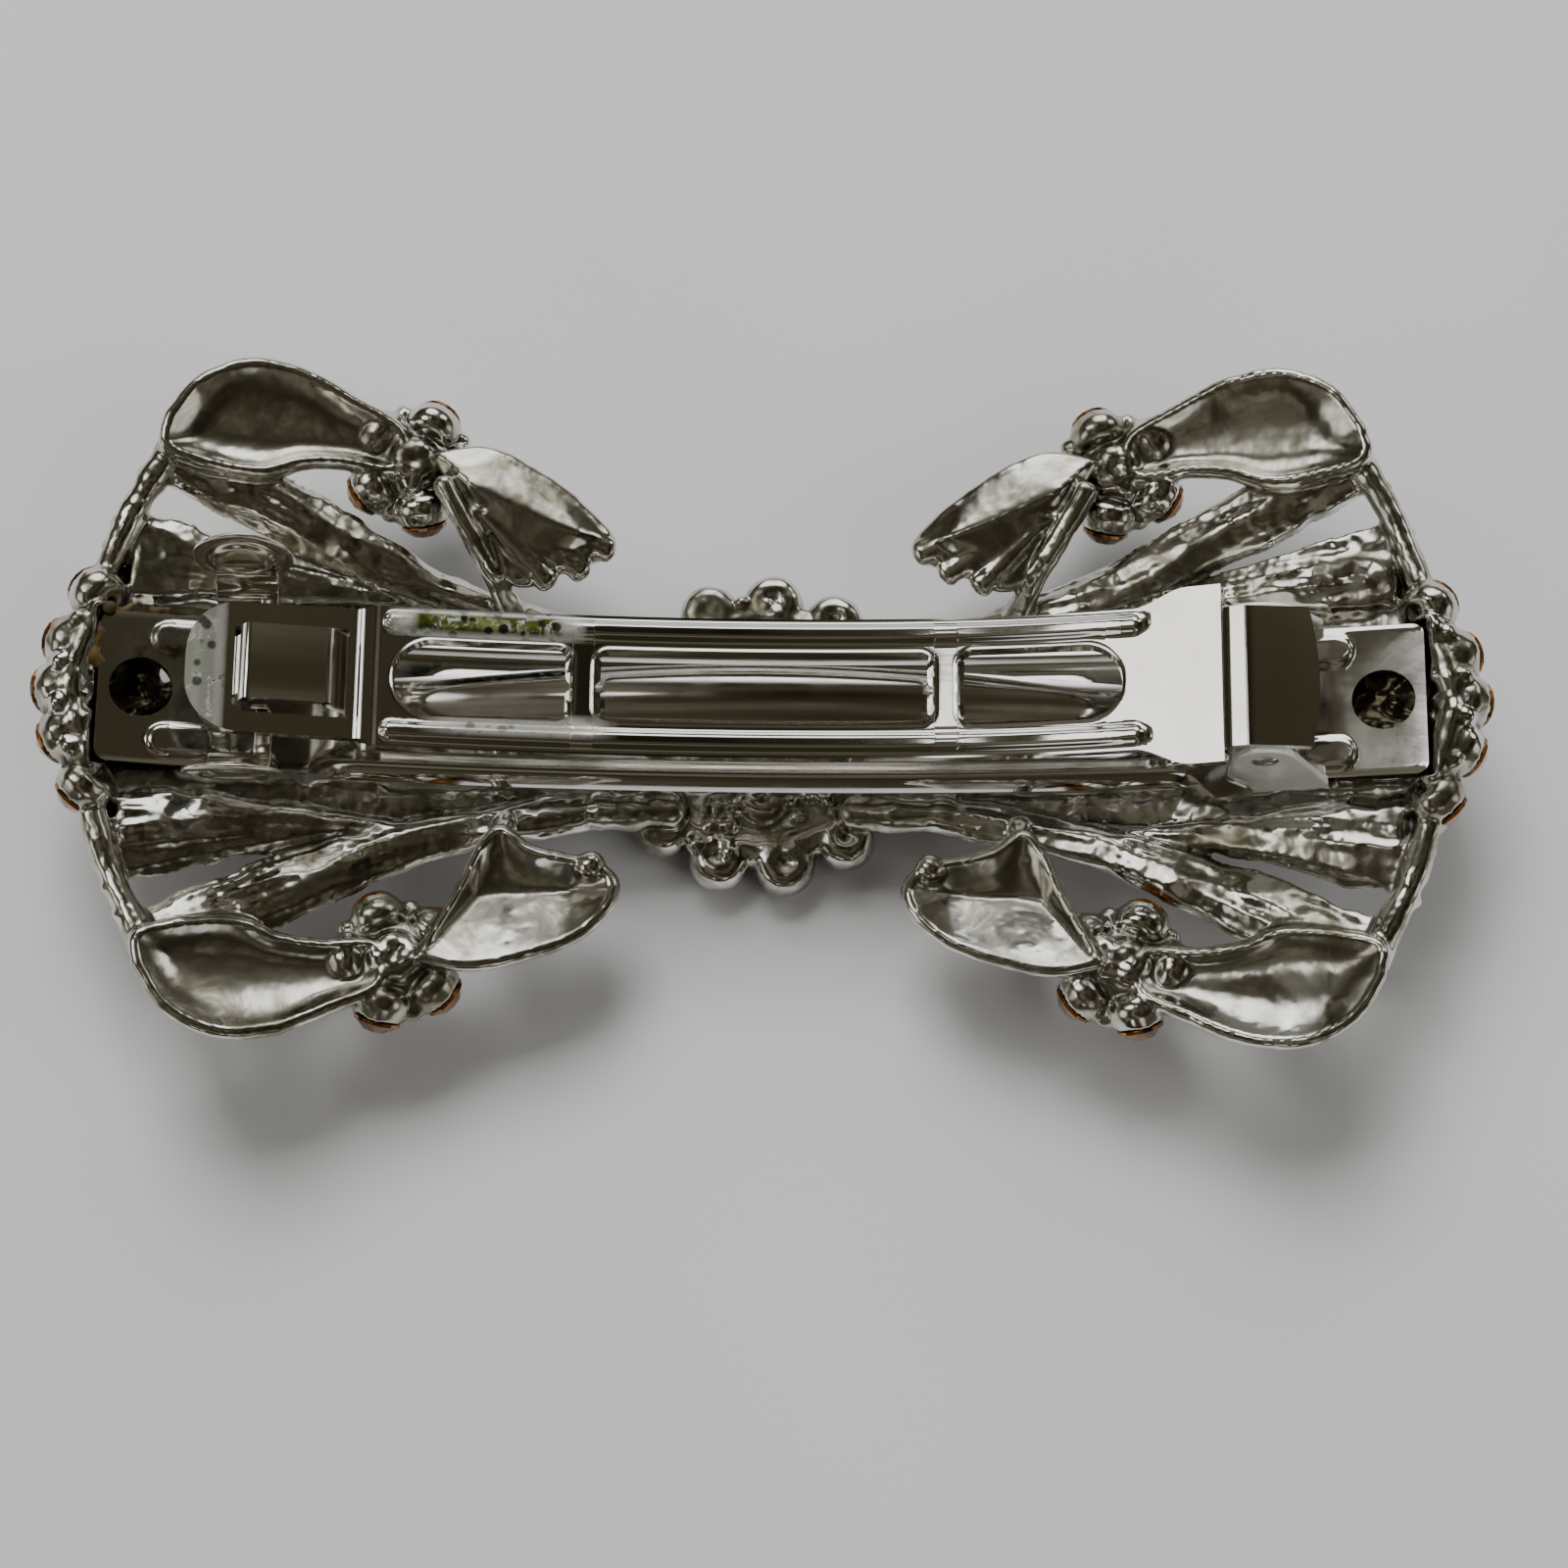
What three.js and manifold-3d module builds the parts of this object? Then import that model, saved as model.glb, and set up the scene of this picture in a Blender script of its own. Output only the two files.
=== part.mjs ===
// A bow-shaped hair barrette lying on its jewelled front, clasp side up: a cast bow with stones in cups,
// and a sprung steel clip of base plate, hinged arm, tension bar and two pinch prongs.
// Millimetres. +X along the clip towards the hinge, +Y across it, +Z up from the front to the clasp.
// The origin is the middle of the flat front that the barrette lies on.

import * as THREE from "three";
import { mergeVertices } from "three/addons/utils/BufferGeometryUtils.js";
import Module from "manifold-3d";

const wasm = await Module();
wasm.setup();

// ---------------------------------------------------------------- driving dimensions

const GAP = 0.1; // clearance between neighbouring pieces
const SLIVER = 0.03; // the largest sliver that is smoothed out of the joined casting

// Base plate: a strip bent to an arc that rises towards its ends.
const PLATE = { halfLength: 40.0, halfWidth: 4.7, thick: 0.7, midTop: 7.0, endTop: 12.2 };
const PLATE_HOLE = { x: 37.5, radius: 1.85 };
const PLATE_OVAL = { y: 3.2, inner: 32.2, outer: 35.6, radius: 1.0, height: 0.3 };
const PLATE_ROLL = { x: 26.6, depth: 0.9, thick: 0.6 };
const PLATE_LOOP = { x: 24.4, length: 1.4, halfWidth: 2.3, height: 1.5, wall: 0.45 };

// Arm: the sprung strip over the hair, hinged at +X and caught at -X.
const ARM = { thick: 0.7, midTop: 12.6, riseAt: 22, rise: 1.8, halfWidth: 4.35, left: -34.2 };
const ARM_LIFT = { from: 8, at: 27.5, height: 1.7 }; // how the arm bends up further towards the hinge
const ARM_RAIL = { y: 3.45, halfWidth: 0.62, height: 0.35, from: -22.3, to: 22.3 };
const ARM_SLOTS = [
  { from: -22.0, to: -11.4, half: 2.4, leftRound: 2.35, rightRound: 0.95 },
  { from: -10.1, to: 10.3, half: 2.25, leftRound: 0.9, rightRound: 0.9 },
  { from: 11.7, to: 21.4, half: 2.35, leftRound: 0.95, rightRound: 2.3 },
];
const SHOULDER = { from: 22.6, to: 27.5, halfWidth: 5.45 };
const TAIL = { to: 32.4, halfWidth: 3.95, drop: 0.8, bulge: 0.5 };
const HORN = { inner: 5.0, outer: 5.45, lobe: [28.6, 11.0], lobeRadius: 1.1 };
const BRIDGE = { from: -31.2, to: -24.6, halfWidth: 2.3, lift: 1.5, slit: 0.45 };

// Hinge: two ears of the base plate with a pin through them and the arm's tail.
const HINGE = { x: 29.8, z: 14.5, pinRadius: 0.6, holeRadius: 0.68, halfPin: 4.95 };
const EAR = { inner: 4.15, outer: 4.7, from: 27.8, to: 34.2, top: 16.1 };
const KNUCKLE = { inner: 3.4, outer: 4.0, radius: 1.25 };

// Catch: two prongs with finger pads, each turning a little about its root on the plate.
const PRONG = { x: -30.9, halfLength: 1.9, inner: 4.5, outer: 5.0, shelfTop: 14.4, padX: -30.9 };
const PAD = { y: 6.75, z: 16.6, radius: 3.0, thick: 0.5, lean: -8, dish: 0.7 };
const HOOK = { from: -30.1, to: -29.1, tipInner: 2.38, tipOuter: 2.62, tipTop: 0.35 };

// Tension bar: a leaf bowed up towards the arm, its ends held by the plate's loops.
const BAR = { halfLength: 24.9, halfWidth: 1.6, endHalfWidth: 1.1, thick: 0.4, midTop: 11.55, endLift: 0.62 };

// Stones and their cups. A cup is a short tube with a pocket for the stone's pointed back.
const SIDES = 8;
const STONE = { crown: 0.55, girdle: 0.2, pavilion: 0.85, table: 0.55 };
const CUP_WALL = 0.2;
const SMALL_STONE = 1.45;
const RING_STONE = 1.57;
const CENTRE_STONE = 2.05;

// Centre cluster: two rings round one larger stone, all tables in the plane z = 0.
const CLUSTER = { outerCount: 13, outerRadius: 8.5, outerPhase: 86, innerCount: 6, innerRadius: 4.45 };
const CLUSTER_CUP = 2.9;
const HUB = { radius: 8.6, low: 2.1, high: 3.4 };

// End fans: five stones at each end that face outwards and down.
const FAN = { centre: 34.7, radius: 9.35, faceZ: 10.3, dip: 24, step: 21.5, cup: 2.4, lastY: 7.0, lastX: 41.7 };

// Corner flowers: five petals round a cast bead, splayed from the flower's axis.
const FLOWER = { x: 22, y: 15.8, z: 7.6, lean: 8, backRadius: 2.0, splay: 62, cup: 1.9, topPhase: 66, lowPhase: 32 };

// Skeleton of one quarter of the cast bow: centre line points, then half-width and half-height along it.
const LONG_RIB = {
  points: [[5.5, 5.0, 3.7], [10.5, 5.6, 4.2], [17, 7.0, 5.2], [22.5, 8.7, 6.5], [28.4, 11.6, 8.2], [35.6, 15.0, 10.3]],
  wide: [1.3, 1.3, 1.4, 1.7, 2.0, 2.2],
  high: [1.0, 1.0, 0.9, 0.9, 0.9, 0.9],
};
const SHORT_RIB = {
  points: [[15.5, 5.4, 4.7], [20.5, 5.9, 5.6], [26, 6.5, 7.1], [32.5, 7.4, 9.0], [39.2, 8.4, 10.3]],
  wide: [1.0, 1.4, 1.9, 2.6, 3.4],
  high: [0.7, 0.8, 0.8, 0.8, 0.8],
};
const RIM = {
  points: [[41.7, -0.6, 10.9], [41.2, 4, 10.9], [40.1, 7.6, 10.8], [38.7, 11.6, 10.8], [37.2, 14.4, 10.9], [35.4, 17.2, 11.2]],
  wide: [0.9, 0.9, 0.8, 0.75, 0.8, 1.0],
  high: [1.1, 1.1, 1.0, 0.9, 0.9, 0.8],
};
const STRUT = {
  points: [[16.3, 9.6, 8.0], [15.6, 8.0, 6.8], [14.6, 6.2, 5.0]],
  wide: [1.0, 0.7, 0.8],
  high: [0.6, 0.7, 0.7],
};
const OUTER_LEAF = {
  outline: [
    [36.3, 17.2], [34.8, 19.6], [32.0, 21.0], [28.8, 20.7], [25.6, 19.2], [22.6, 17.4],
    [22.9, 15.4], [26.4, 15.5], [28.6, 15.4], [29.9, 14.0], [31.0, 12.6], [33.8, 13.6], [37.0, 15.4],
  ],
  thick: 1.5,
  at: [30, 18],
  z: 10.6,
  slopeX: 0.24,
  slopeY: 0.12,
};
const INNER_LEAF = {
  outline: [
    [20.6, 15.9], [17.4, 16.4], [13.6, 15.0], [10.4, 12.8], [8.9, 10.7], [10.4, 9.6], [12.4, 8.4], [15.6, 8.2], [17.8, 11.0],
  ],
  thick: 1.4,
  at: [15, 12],
  z: 8.3,
  slopeX: 0.05,
  slopeY: 0.1,
};
const END_SEAT = { inner: 34.6, outer: 41.8, halfWidth: 5.2, low: 9.2 };

// ---------------------------------------------------------------- materials

const metal = (name, color, roughness) =>
  new THREE.MeshStandardMaterial({ name, color, roughness, metalness: 1 });
const castMetal = metal("cast_rhodium_plate", 0xb9b8b2, 0.18);
const stripMetal = metal("nickel_plated_strip", 0xc4c3be, 0.12);
const springMetal = metal("spring_leaf", 0xa9a8a4, 0.16);
const glass = (name, color) => new THREE.MeshStandardMaterial({ name, color, roughness: 0.03, metalness: 0 });
const amberGlass = glass("amber_stone", 0x9a5a20);
const clearGlass = glass("clear_stone", 0xe6e4de);

// ---------------------------------------------------------------- solids

const deg = THREE.MathUtils.degToRad;

// A closed three.js geometry as a manifold-3d solid.
function solid(geometry) {
  const bare = geometry.clone();
  bare.deleteAttribute("normal");
  bare.deleteAttribute("uv");
  const merged = mergeVertices(bare, 1e-4);
  return new wasm.Manifold(
    new wasm.Mesh({
      numProp: 3,
      vertProperties: new Float32Array(merged.attributes.position.array),
      triVerts: new Uint32Array(merged.index.array),
    }),
  );
}

// A manifold-3d solid back as a three.js geometry.
function geometryOf(made) {
  const mesh = made.getMesh();
  const geometry = new THREE.BufferGeometry();
  geometry.setAttribute("position", new THREE.BufferAttribute(new Float32Array(mesh.vertProperties), 3));
  geometry.setIndex(new THREE.BufferAttribute(new Uint32Array(mesh.triVerts), 1));
  geometry.computeVertexNormals();
  return geometry;
}

const joined = (solids) => solids.reduce((all, one) => all.add(one));

// The outermost closed shell, which fills any sealed hollow left between joined pieces.
const outerShell = (made) =>
  made.decompose().reduce((largest, shell) => (shell.volume() > largest.volume() ? shell : largest));

function shapeOf(points) {
  return new THREE.Shape(points.map(([x, y]) => new THREE.Vector2(x, y)));
}

// A plan outline in X and Y made into a prism from z = low to z = high.
function prism(shape, low, high, curveSegments = 8) {
  const geometry = new THREE.ExtrudeGeometry(shape, { depth: high - low, bevelEnabled: false, curveSegments });
  return solid(geometry.translate(0, 0, low));
}

// A side outline in X and Z made into a slab from y = low to y = high.
function slab(shape, low, high, curveSegments = 8) {
  const geometry = new THREE.ExtrudeGeometry(shape, { depth: high - low, bevelEnabled: false, curveSegments });
  return solid(geometry.rotateX(Math.PI / 2).translate(0, high, 0));
}

// The side outline of a strip whose top follows z = top(x) between two x stations.
function stripOutline(top, thick, from, to, steps) {
  const along = Array.from({ length: steps + 1 }, (_, i) => from + ((to - from) * i) / steps);
  const upper = along.map((x) => [x, top(x)]).reverse();
  const lower = along.map((x) => [x, top(x) - thick]);
  return shapeOf([...lower, ...upper]);
}

function stadium(from, to, y, radius) {
  const shape = new THREE.Shape();
  shape.absarc(to - radius, y, radius, -Math.PI / 2, Math.PI / 2, false);
  shape.absarc(from + radius, y, radius, Math.PI / 2, (3 * Math.PI) / 2, false);
  return shape;
}

// A slot with its own corner radius at each end.
function slotShape({ from, to, half, leftRound, rightRound }) {
  const shape = new THREE.Shape();
  shape.absarc(to - rightRound, -half + rightRound, rightRound, -Math.PI / 2, 0, false);
  shape.absarc(to - rightRound, half - rightRound, rightRound, 0, Math.PI / 2, false);
  shape.absarc(from + leftRound, half - leftRound, leftRound, Math.PI / 2, Math.PI, false);
  shape.absarc(from + leftRound, -half + leftRound, leftRound, Math.PI, (3 * Math.PI) / 2, false);
  return shape;
}

const block = (x0, x1, y0, y1, z0, z1) =>
  solid(new THREE.BoxGeometry(x1 - x0, y1 - y0, z1 - z0).translate((x0 + x1) / 2, (y0 + y1) / 2, (z0 + z1) / 2));

// A cylinder along Y between two y stations, about the point (x, z).
const crossRod = (x, z, radius, low, high, sides = 16) =>
  solid(new THREE.CylinderGeometry(radius, radius, high - low, sides).translate(x, (low + high) / 2, z));

// A rounded limb: an elliptical section swept through the points, its half-sizes changing along the way.
function limb({ points, wide, high }, sides = 6, steps = 6) {
  const curve = new THREE.CatmullRomCurve3(points.map((p) => new THREE.Vector3(...p)), false, "centripetal");
  const sizeAt = (list, t) => {
    const place = t * (list.length - 1);
    const i = Math.min(list.length - 2, Math.floor(place));
    return list[i] + (list[i + 1] - list[i]) * (place - i);
  };
  const tube = new THREE.CylinderGeometry(1, 1, 1, sides, steps);
  const position = tube.attributes.position;
  const up = new THREE.Vector3(0, 0, 1);
  for (let i = 0; i < position.count; i++) {
    const t = 0.5 - position.getY(i);
    const along = curve.getTangentAt(t);
    const side = new THREE.Vector3().crossVectors(up, along).normalize();
    const over = new THREE.Vector3().crossVectors(along, side).normalize();
    const place = curve
      .getPointAt(t)
      .addScaledVector(side, -position.getZ(i) * sizeAt(wide, t))
      .addScaledVector(over, position.getX(i) * sizeAt(high, t));
    position.setXYZ(i, place.x, place.y, place.z);
  }
  return solid(tube);
}

// A leaf: its smooth outline as a plate of even thickness, tilted by its slopes.
function leaf({ outline, thick, at, z, slopeX, slopeY }) {
  const spline = new THREE.SplineCurve([...outline, outline[0]].map(([x, y]) => new THREE.Vector2(x, y)));
  const shape = new THREE.Shape(spline.getPoints(15).slice(0, -1));
  const geometry = new THREE.ExtrudeGeometry(shape, {
    depth: thick - 0.7,
    bevelThickness: 0.35,
    bevelSize: 0.4,
    bevelOffset: -0.4,
    bevelSegments: 1,
  });
  const position = geometry.attributes.position;
  for (let i = 0; i < position.count; i++) {
    const rise = slopeX * (position.getX(i) - at[0]) + slopeY * (position.getY(i) - at[1]);
    position.setZ(i, position.getZ(i) + z - thick / 2 + 0.35 + rise);
  }
  return solid(geometry);
}

// ---------------------------------------------------------------- stones and cups

// A cut stone on the axis +Z: pointed back at the low end, table at z = 0.
function stoneGeometry(radius) {
  const tableZ = 0;
  const girdleTop = -STONE.crown;
  const girdleLow = girdleTop - STONE.girdle;
  const profile = [
    [0, girdleLow - STONE.pavilion],
    [radius, girdleLow],
    [radius, girdleTop],
    [radius * STONE.table, tableZ],
    [0, tableZ],
  ].map(([r, z]) => new THREE.Vector2(r, z));
  return new THREE.LatheGeometry(profile, SIDES).rotateX(Math.PI / 2);
}

// A cup on the same axis, with its stone's table at z = 0: an outer wall, and the room its stone needs.
function cupSolid(radius, length) {
  const mouth = -STONE.crown - 0.05;
  const outer = new THREE.CylinderGeometry(radius + GAP + CUP_WALL, radius + CUP_WALL * 0.8, length, SIDES);
  outer.rotateX(Math.PI / 2).translate(0, 0, mouth - length / 2);
  const girdleLow = -STONE.crown - STONE.girdle;
  const profile = [
    [0, girdleLow - STONE.pavilion - 1.5 * GAP],
    [radius + GAP, girdleLow - GAP],
    [radius + GAP, 2 * GAP],
    [0, 2 * GAP],
  ].map(([r, z]) => new THREE.Vector2(r, z));
  const room = new THREE.LatheGeometry(profile, SIDES).rotateX(Math.PI / 2);
  return { outer: solid(outer), room: solid(room) };
}

// Each setting: its node name, stone radius, cup length, face centre and the way the stone faces.
const settings = [];
const facing = (azimuth, dip) =>
  new THREE.Vector3(Math.cos(azimuth) * Math.cos(dip), Math.sin(azimuth) * Math.cos(dip), -Math.sin(dip));
const down = new THREE.Vector3(0, 0, -1);

function addClusterSettings() {
  const add = (name, radius, x, y) =>
    settings.push({ name, radius, cup: CLUSTER_CUP, face: new THREE.Vector3(x, y, 0), axis: down, glass: clearGlass });
  const ring = (label, count, ringRadius, phase, radius) => {
    for (let i = 0; i < count; i++) {
      const angle = deg(phase + (360 * i) / count);
      const name = `${label}_stone_${String(i + 1).padStart(2, "0")}`;
      add(name, radius, ringRadius * Math.cos(angle), ringRadius * Math.sin(angle));
    }
  };
  add("centre_stone", CENTRE_STONE, 0, 0);
  ring("inner_ring", CLUSTER.innerCount, CLUSTER.innerRadius, 30, RING_STONE);
  ring("outer_ring", CLUSTER.outerCount, CLUSTER.outerRadius, CLUSTER.outerPhase, RING_STONE);
}

function addFanSettings(sx, label) {
  for (let i = -2; i <= 2; i++) {
    const angle = deg(FAN.step * i);
    const last = Math.abs(i) === 2;
    const x = last ? FAN.lastX : FAN.centre + FAN.radius * Math.cos(angle);
    const y = last ? Math.sign(i) * FAN.lastY : FAN.radius * Math.sin(angle);
    const axis = facing(angle, deg(FAN.dip));
    axis.x *= sx;
    const face = new THREE.Vector3(sx * x, y, FAN.faceZ);
    settings.push({ name: `${label}_fan_stone_${i + 3}`, radius: SMALL_STONE, cup: FAN.cup, face, axis, glass: amberGlass });
  }
}

// The flower's own axes: its axis leans outwards, and e1 and e2 span its plane.
function flowerFrame(sx, sy) {
  const outward = new THREE.Vector3(sx * FLOWER.x, sy * FLOWER.y, 0).normalize();
  const lean = deg(FLOWER.lean);
  const axis = outward.clone().multiplyScalar(Math.sin(lean)).addScaledVector(down, Math.cos(lean));
  const e1 = new THREE.Vector3(sx, 0, 0).addScaledVector(axis, -axis.x * sx).normalize();
  const e2 = new THREE.Vector3().crossVectors(axis, e1).normalize();
  if (e2.y * sy < 0) e2.negate();
  const back = new THREE.Vector3(sx * FLOWER.x, sy * FLOWER.y, FLOWER.z);
  return { axis, e1, e2, back };
}

function addFlowerSettings(sx, sy, label) {
  const { axis, e1, e2, back } = flowerFrame(sx, sy);
  const phase = sy > 0 ? 180 - FLOWER.topPhase : 180 - FLOWER.lowPhase;
  const splay = deg(FLOWER.splay);
  const reach = FLOWER.cup + STONE.crown + 0.05;
  for (let i = 0; i < 5; i++) {
    const angle = deg(phase + 72 * i);
    const outward = e1.clone().multiplyScalar(Math.cos(angle)).addScaledVector(e2, Math.sin(angle));
    const facingAxis = outward.clone().multiplyScalar(Math.sin(splay)).addScaledVector(axis, Math.cos(splay));
    const face = back.clone().addScaledVector(outward, FLOWER.backRadius).addScaledVector(facingAxis, reach);
    settings.push({
      name: `${label}_petal_stone_${i + 1}`,
      radius: SMALL_STONE,
      cup: FLOWER.cup,
      face,
      axis: facingAxis,
      glass: amberGlass,
    });
  }
}

const QUARTERS = [
  { sx: -1, sy: 1, label: "upper_left" },
  { sx: 1, sy: 1, label: "upper_right" },
  { sx: -1, sy: -1, label: "lower_left" },
  { sx: 1, sy: -1, label: "lower_right" },
];

addClusterSettings();
addFanSettings(-1, "left");
addFanSettings(1, "right");
QUARTERS.forEach(({ sx, sy, label }) => addFlowerSettings(sx, sy, label));

// The placing that carries the stone's own axis +Z onto the way it faces.
function placing({ face, axis }) {
  const turn = new THREE.Quaternion().setFromUnitVectors(new THREE.Vector3(0, 0, 1), axis);
  return new THREE.Matrix4().compose(face, turn, new THREE.Vector3(1, 1, 1));
}

// ---------------------------------------------------------------- base plate

const plateRadius = (PLATE.halfLength ** 2 + (PLATE.endTop - PLATE.midTop) ** 2) / (2 * (PLATE.endTop - PLATE.midTop));
const plateTop = (x) => PLATE.midTop + plateRadius - Math.sqrt(plateRadius ** 2 - x ** 2);

function plateOutline() {
  const { halfLength: l, halfWidth: w } = PLATE;
  const corner = 0.8;
  const shape = new THREE.Shape();
  shape.absarc(l - corner, -w + corner, corner, -Math.PI / 2, 0, false);
  shape.absarc(l - corner, w - corner, corner, 0, Math.PI / 2, false);
  shape.absarc(-l + corner, w - corner, corner, Math.PI / 2, Math.PI, false);
  shape.absarc(-l + corner, -w + corner, corner, Math.PI, (3 * Math.PI) / 2, false);
  return shape;
}

function hingeEar(sy) {
  const foot = plateTop(EAR.from) - 0.4;
  const outline = shapeOf([
    [EAR.from, foot],
    [EAR.to, plateTop(EAR.to) - 0.4],
    [HINGE.x + 2.2, EAR.top - 1.1],
    [HINGE.x + 0.9, EAR.top],
    [HINGE.x - 0.9, EAR.top],
    [EAR.from + 0.2, EAR.top - 1.2],
  ]);
  const [low, high] = sy > 0 ? [EAR.inner, EAR.outer] : [-EAR.outer, -EAR.inner];
  return slab(outline, low, high).subtract(crossRod(HINGE.x, HINGE.z, HINGE.holeRadius, low - 1, high + 1));
}

// A low arch over the end of the tension bar, open along X.
function barLoop(sx) {
  const x = sx * PLATE_LOOP.x;
  const foot = plateTop(PLATE_LOOP.x) - 0.3;
  const top = plateTop(PLATE_LOOP.x) + PLATE_LOOP.height;
  const half = PLATE_LOOP.length / 2;
  const { halfWidth, wall } = PLATE_LOOP;
  const arch = block(x - half, x + half, -halfWidth, halfWidth, foot, top);
  const opening = block(x - half - 1, x + half + 1, -halfWidth + wall, halfWidth - wall, foot - 1, top - wall);
  return arch.subtract(opening);
}

function basePlate() {
  const { halfLength, halfWidth, thick } = PLATE;
  const strip = slab(stripOutline(plateTop, thick, -halfLength, halfLength, 16), -halfWidth, halfWidth);
  let plate = strip.intersect(prism(plateOutline(), 0, 20, 3));
  for (const sx of [-1, 1]) {
    for (const sy of [-1, 1]) {
      const [from, to] = sx > 0 ? [PLATE_OVAL.inner, PLATE_OVAL.outer] : [-PLATE_OVAL.outer, -PLATE_OVAL.inner];
      const raised = (x) => plateTop(x) + PLATE_OVAL.height;
      const boss = slab(stripOutline(raised, thick, from, to, 3), sy * PLATE_OVAL.y - 2, sy * PLATE_OVAL.y + 2);
      plate = plate.add(boss.intersect(prism(stadium(from, to, sy * PLATE_OVAL.y, PLATE_OVAL.radius), 0, 20, 5)));
    }
    plate = plate.add(barLoop(sx));
    plate = plate.subtract(uprightRod(sx * PLATE_HOLE.x, PLATE_HOLE.radius));
  }
  for (const sy of [-1, 1]) {
    const roll = stripOutline((x) => plateTop(x) - 0.3, PLATE_ROLL.depth, -PLATE_ROLL.x, PLATE_ROLL.x, 10);
    const edge = sy * (halfWidth - PLATE_ROLL.thick / 2);
    plate = plate.add(slab(roll, edge - PLATE_ROLL.thick / 2, edge + PLATE_ROLL.thick / 2));
    plate = plate.add(hingeEar(sy));
  }
  return plate;
}

// An upright cylinder, taller than the whole barrette.
const uprightRod = (x, radius) =>
  solid(new THREE.CylinderGeometry(radius, radius, 20, 24).rotateX(Math.PI / 2).translate(x, 0, 10));

// ---------------------------------------------------------------- arm

function armTop(x) {
  const bent = Math.max(0, (x - ARM_LIFT.from) / (ARM_LIFT.at - ARM_LIFT.from));
  return ARM.midTop + ARM.rise * (x / ARM.riseAt) ** 2 + ARM_LIFT.height * bent ** 2;
}

function armOutline() {
  const { halfWidth: w, left } = ARM;
  const s = SHOULDER;
  const shape = new THREE.Shape();
  shape.moveTo(left + 3.0, -w + 0.35);
  shape.lineTo(BRIDGE.to + 0.8, -w + 0.1);
  shape.lineTo(BRIDGE.to + 1.8, -w);
  shape.lineTo(s.from - 0.6, -w);
  shape.quadraticCurveTo(s.from + 1.6, -w, s.from + 3.0, -s.halfWidth);
  shape.lineTo(s.to, -s.halfWidth);
  shape.lineTo(s.to, s.halfWidth);
  shape.lineTo(s.from + 3.0, s.halfWidth);
  shape.quadraticCurveTo(s.from + 1.6, w, s.from - 0.6, w);
  shape.lineTo(BRIDGE.to + 1.8, w);
  shape.lineTo(BRIDGE.to + 0.8, w - 0.1);
  shape.lineTo(left + 3.0, w - 0.35);
  shape.bezierCurveTo(left - 0.7, w - 1.1, left - 0.7, -w + 1.1, left + 3.0, -w + 0.35);
  ARM_SLOTS.forEach((slot) => shape.holes.push(new THREE.Path(slotShape(slot).getPoints(4).reverse())));
  return shape;
}

// The flange that hangs outside the plate's ear, from the shoulder down to a round lobe.
function horn(sy) {
  const [lobeX, lobeZ] = HORN.lobe;
  const outline = new THREE.Shape();
  outline.moveTo(SHOULDER.from + 1.9, armTop(SHOULDER.from) - 0.35);
  outline.quadraticCurveTo(lobeX - 2.6, lobeZ + 2.2, lobeX - HORN.lobeRadius, lobeZ);
  outline.absarc(lobeX, lobeZ, HORN.lobeRadius, Math.PI, 2 * Math.PI, false);
  outline.lineTo(SHOULDER.to, armTop(SHOULDER.to) - 0.35);
  const [low, high] = sy > 0 ? [HORN.inner, HORN.outer] : [-HORN.outer, -HORN.inner];
  return slab(outline, low, high, 6);
}

// The tail behind the shoulder: it steps down between the ears and carries the two knuckles on the pin.
function tail() {
  const stepFrom = SHOULDER.to - 0.3;
  const level = armTop(SHOULDER.to);
  const low = level - TAIL.drop;
  const side = shapeOf([
    [stepFrom, level - ARM.thick],
    [stepFrom + 0.9, low - ARM.thick],
    [TAIL.to + TAIL.bulge, low - ARM.thick],
    [TAIL.to + TAIL.bulge, low],
    [stepFrom + 1.2, low],
    [stepFrom + 0.5, level],
    [stepFrom, level],
  ]);
  const plan = new THREE.Shape();
  plan.moveTo(stepFrom - 1, -TAIL.halfWidth);
  plan.lineTo(TAIL.to, -TAIL.halfWidth);
  plan.quadraticCurveTo(TAIL.to + 2 * TAIL.bulge, 0, TAIL.to, TAIL.halfWidth);
  plan.lineTo(stepFrom - 1, TAIL.halfWidth);
  const sheet = slab(side, -TAIL.halfWidth, TAIL.halfWidth).intersect(prism(plan, 0, 20, 6));
  const knuckles = [-1, 1].map((sy) => {
    const [a, b] = sy > 0 ? [KNUCKLE.inner, KNUCKLE.outer] : [-KNUCKLE.outer, -KNUCKLE.inner];
    const lug = crossRod(HINGE.x, HINGE.z, KNUCKLE.radius, a, b);
    return lug.add(block(HINGE.x - 1.1, HINGE.x + 1.1, a, b, HINGE.z, low - 0.2));
  });
  return joined([sheet, ...knuckles]);
}

// The lifted tongue in the catch end, with a slit at each side for the prongs' hooks.
function bridge(arm) {
  const { from, to, halfWidth, lift, slit } = BRIDGE;
  const cut = halfWidth + slit;
  const opened = arm.subtract(block(from, to, -cut, cut, 0, 20));
  const ramp = 0.9;
  const raised = (x) => {
    const inside = Math.min(1, Math.max(0, Math.min(x - from, to - x) / ramp));
    return armTop(x) + lift * inside;
  };
  return opened.add(slab(stripOutline(raised, ARM.thick, from - 0.25, to + 0.25, 14), -halfWidth, halfWidth));
}

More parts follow.
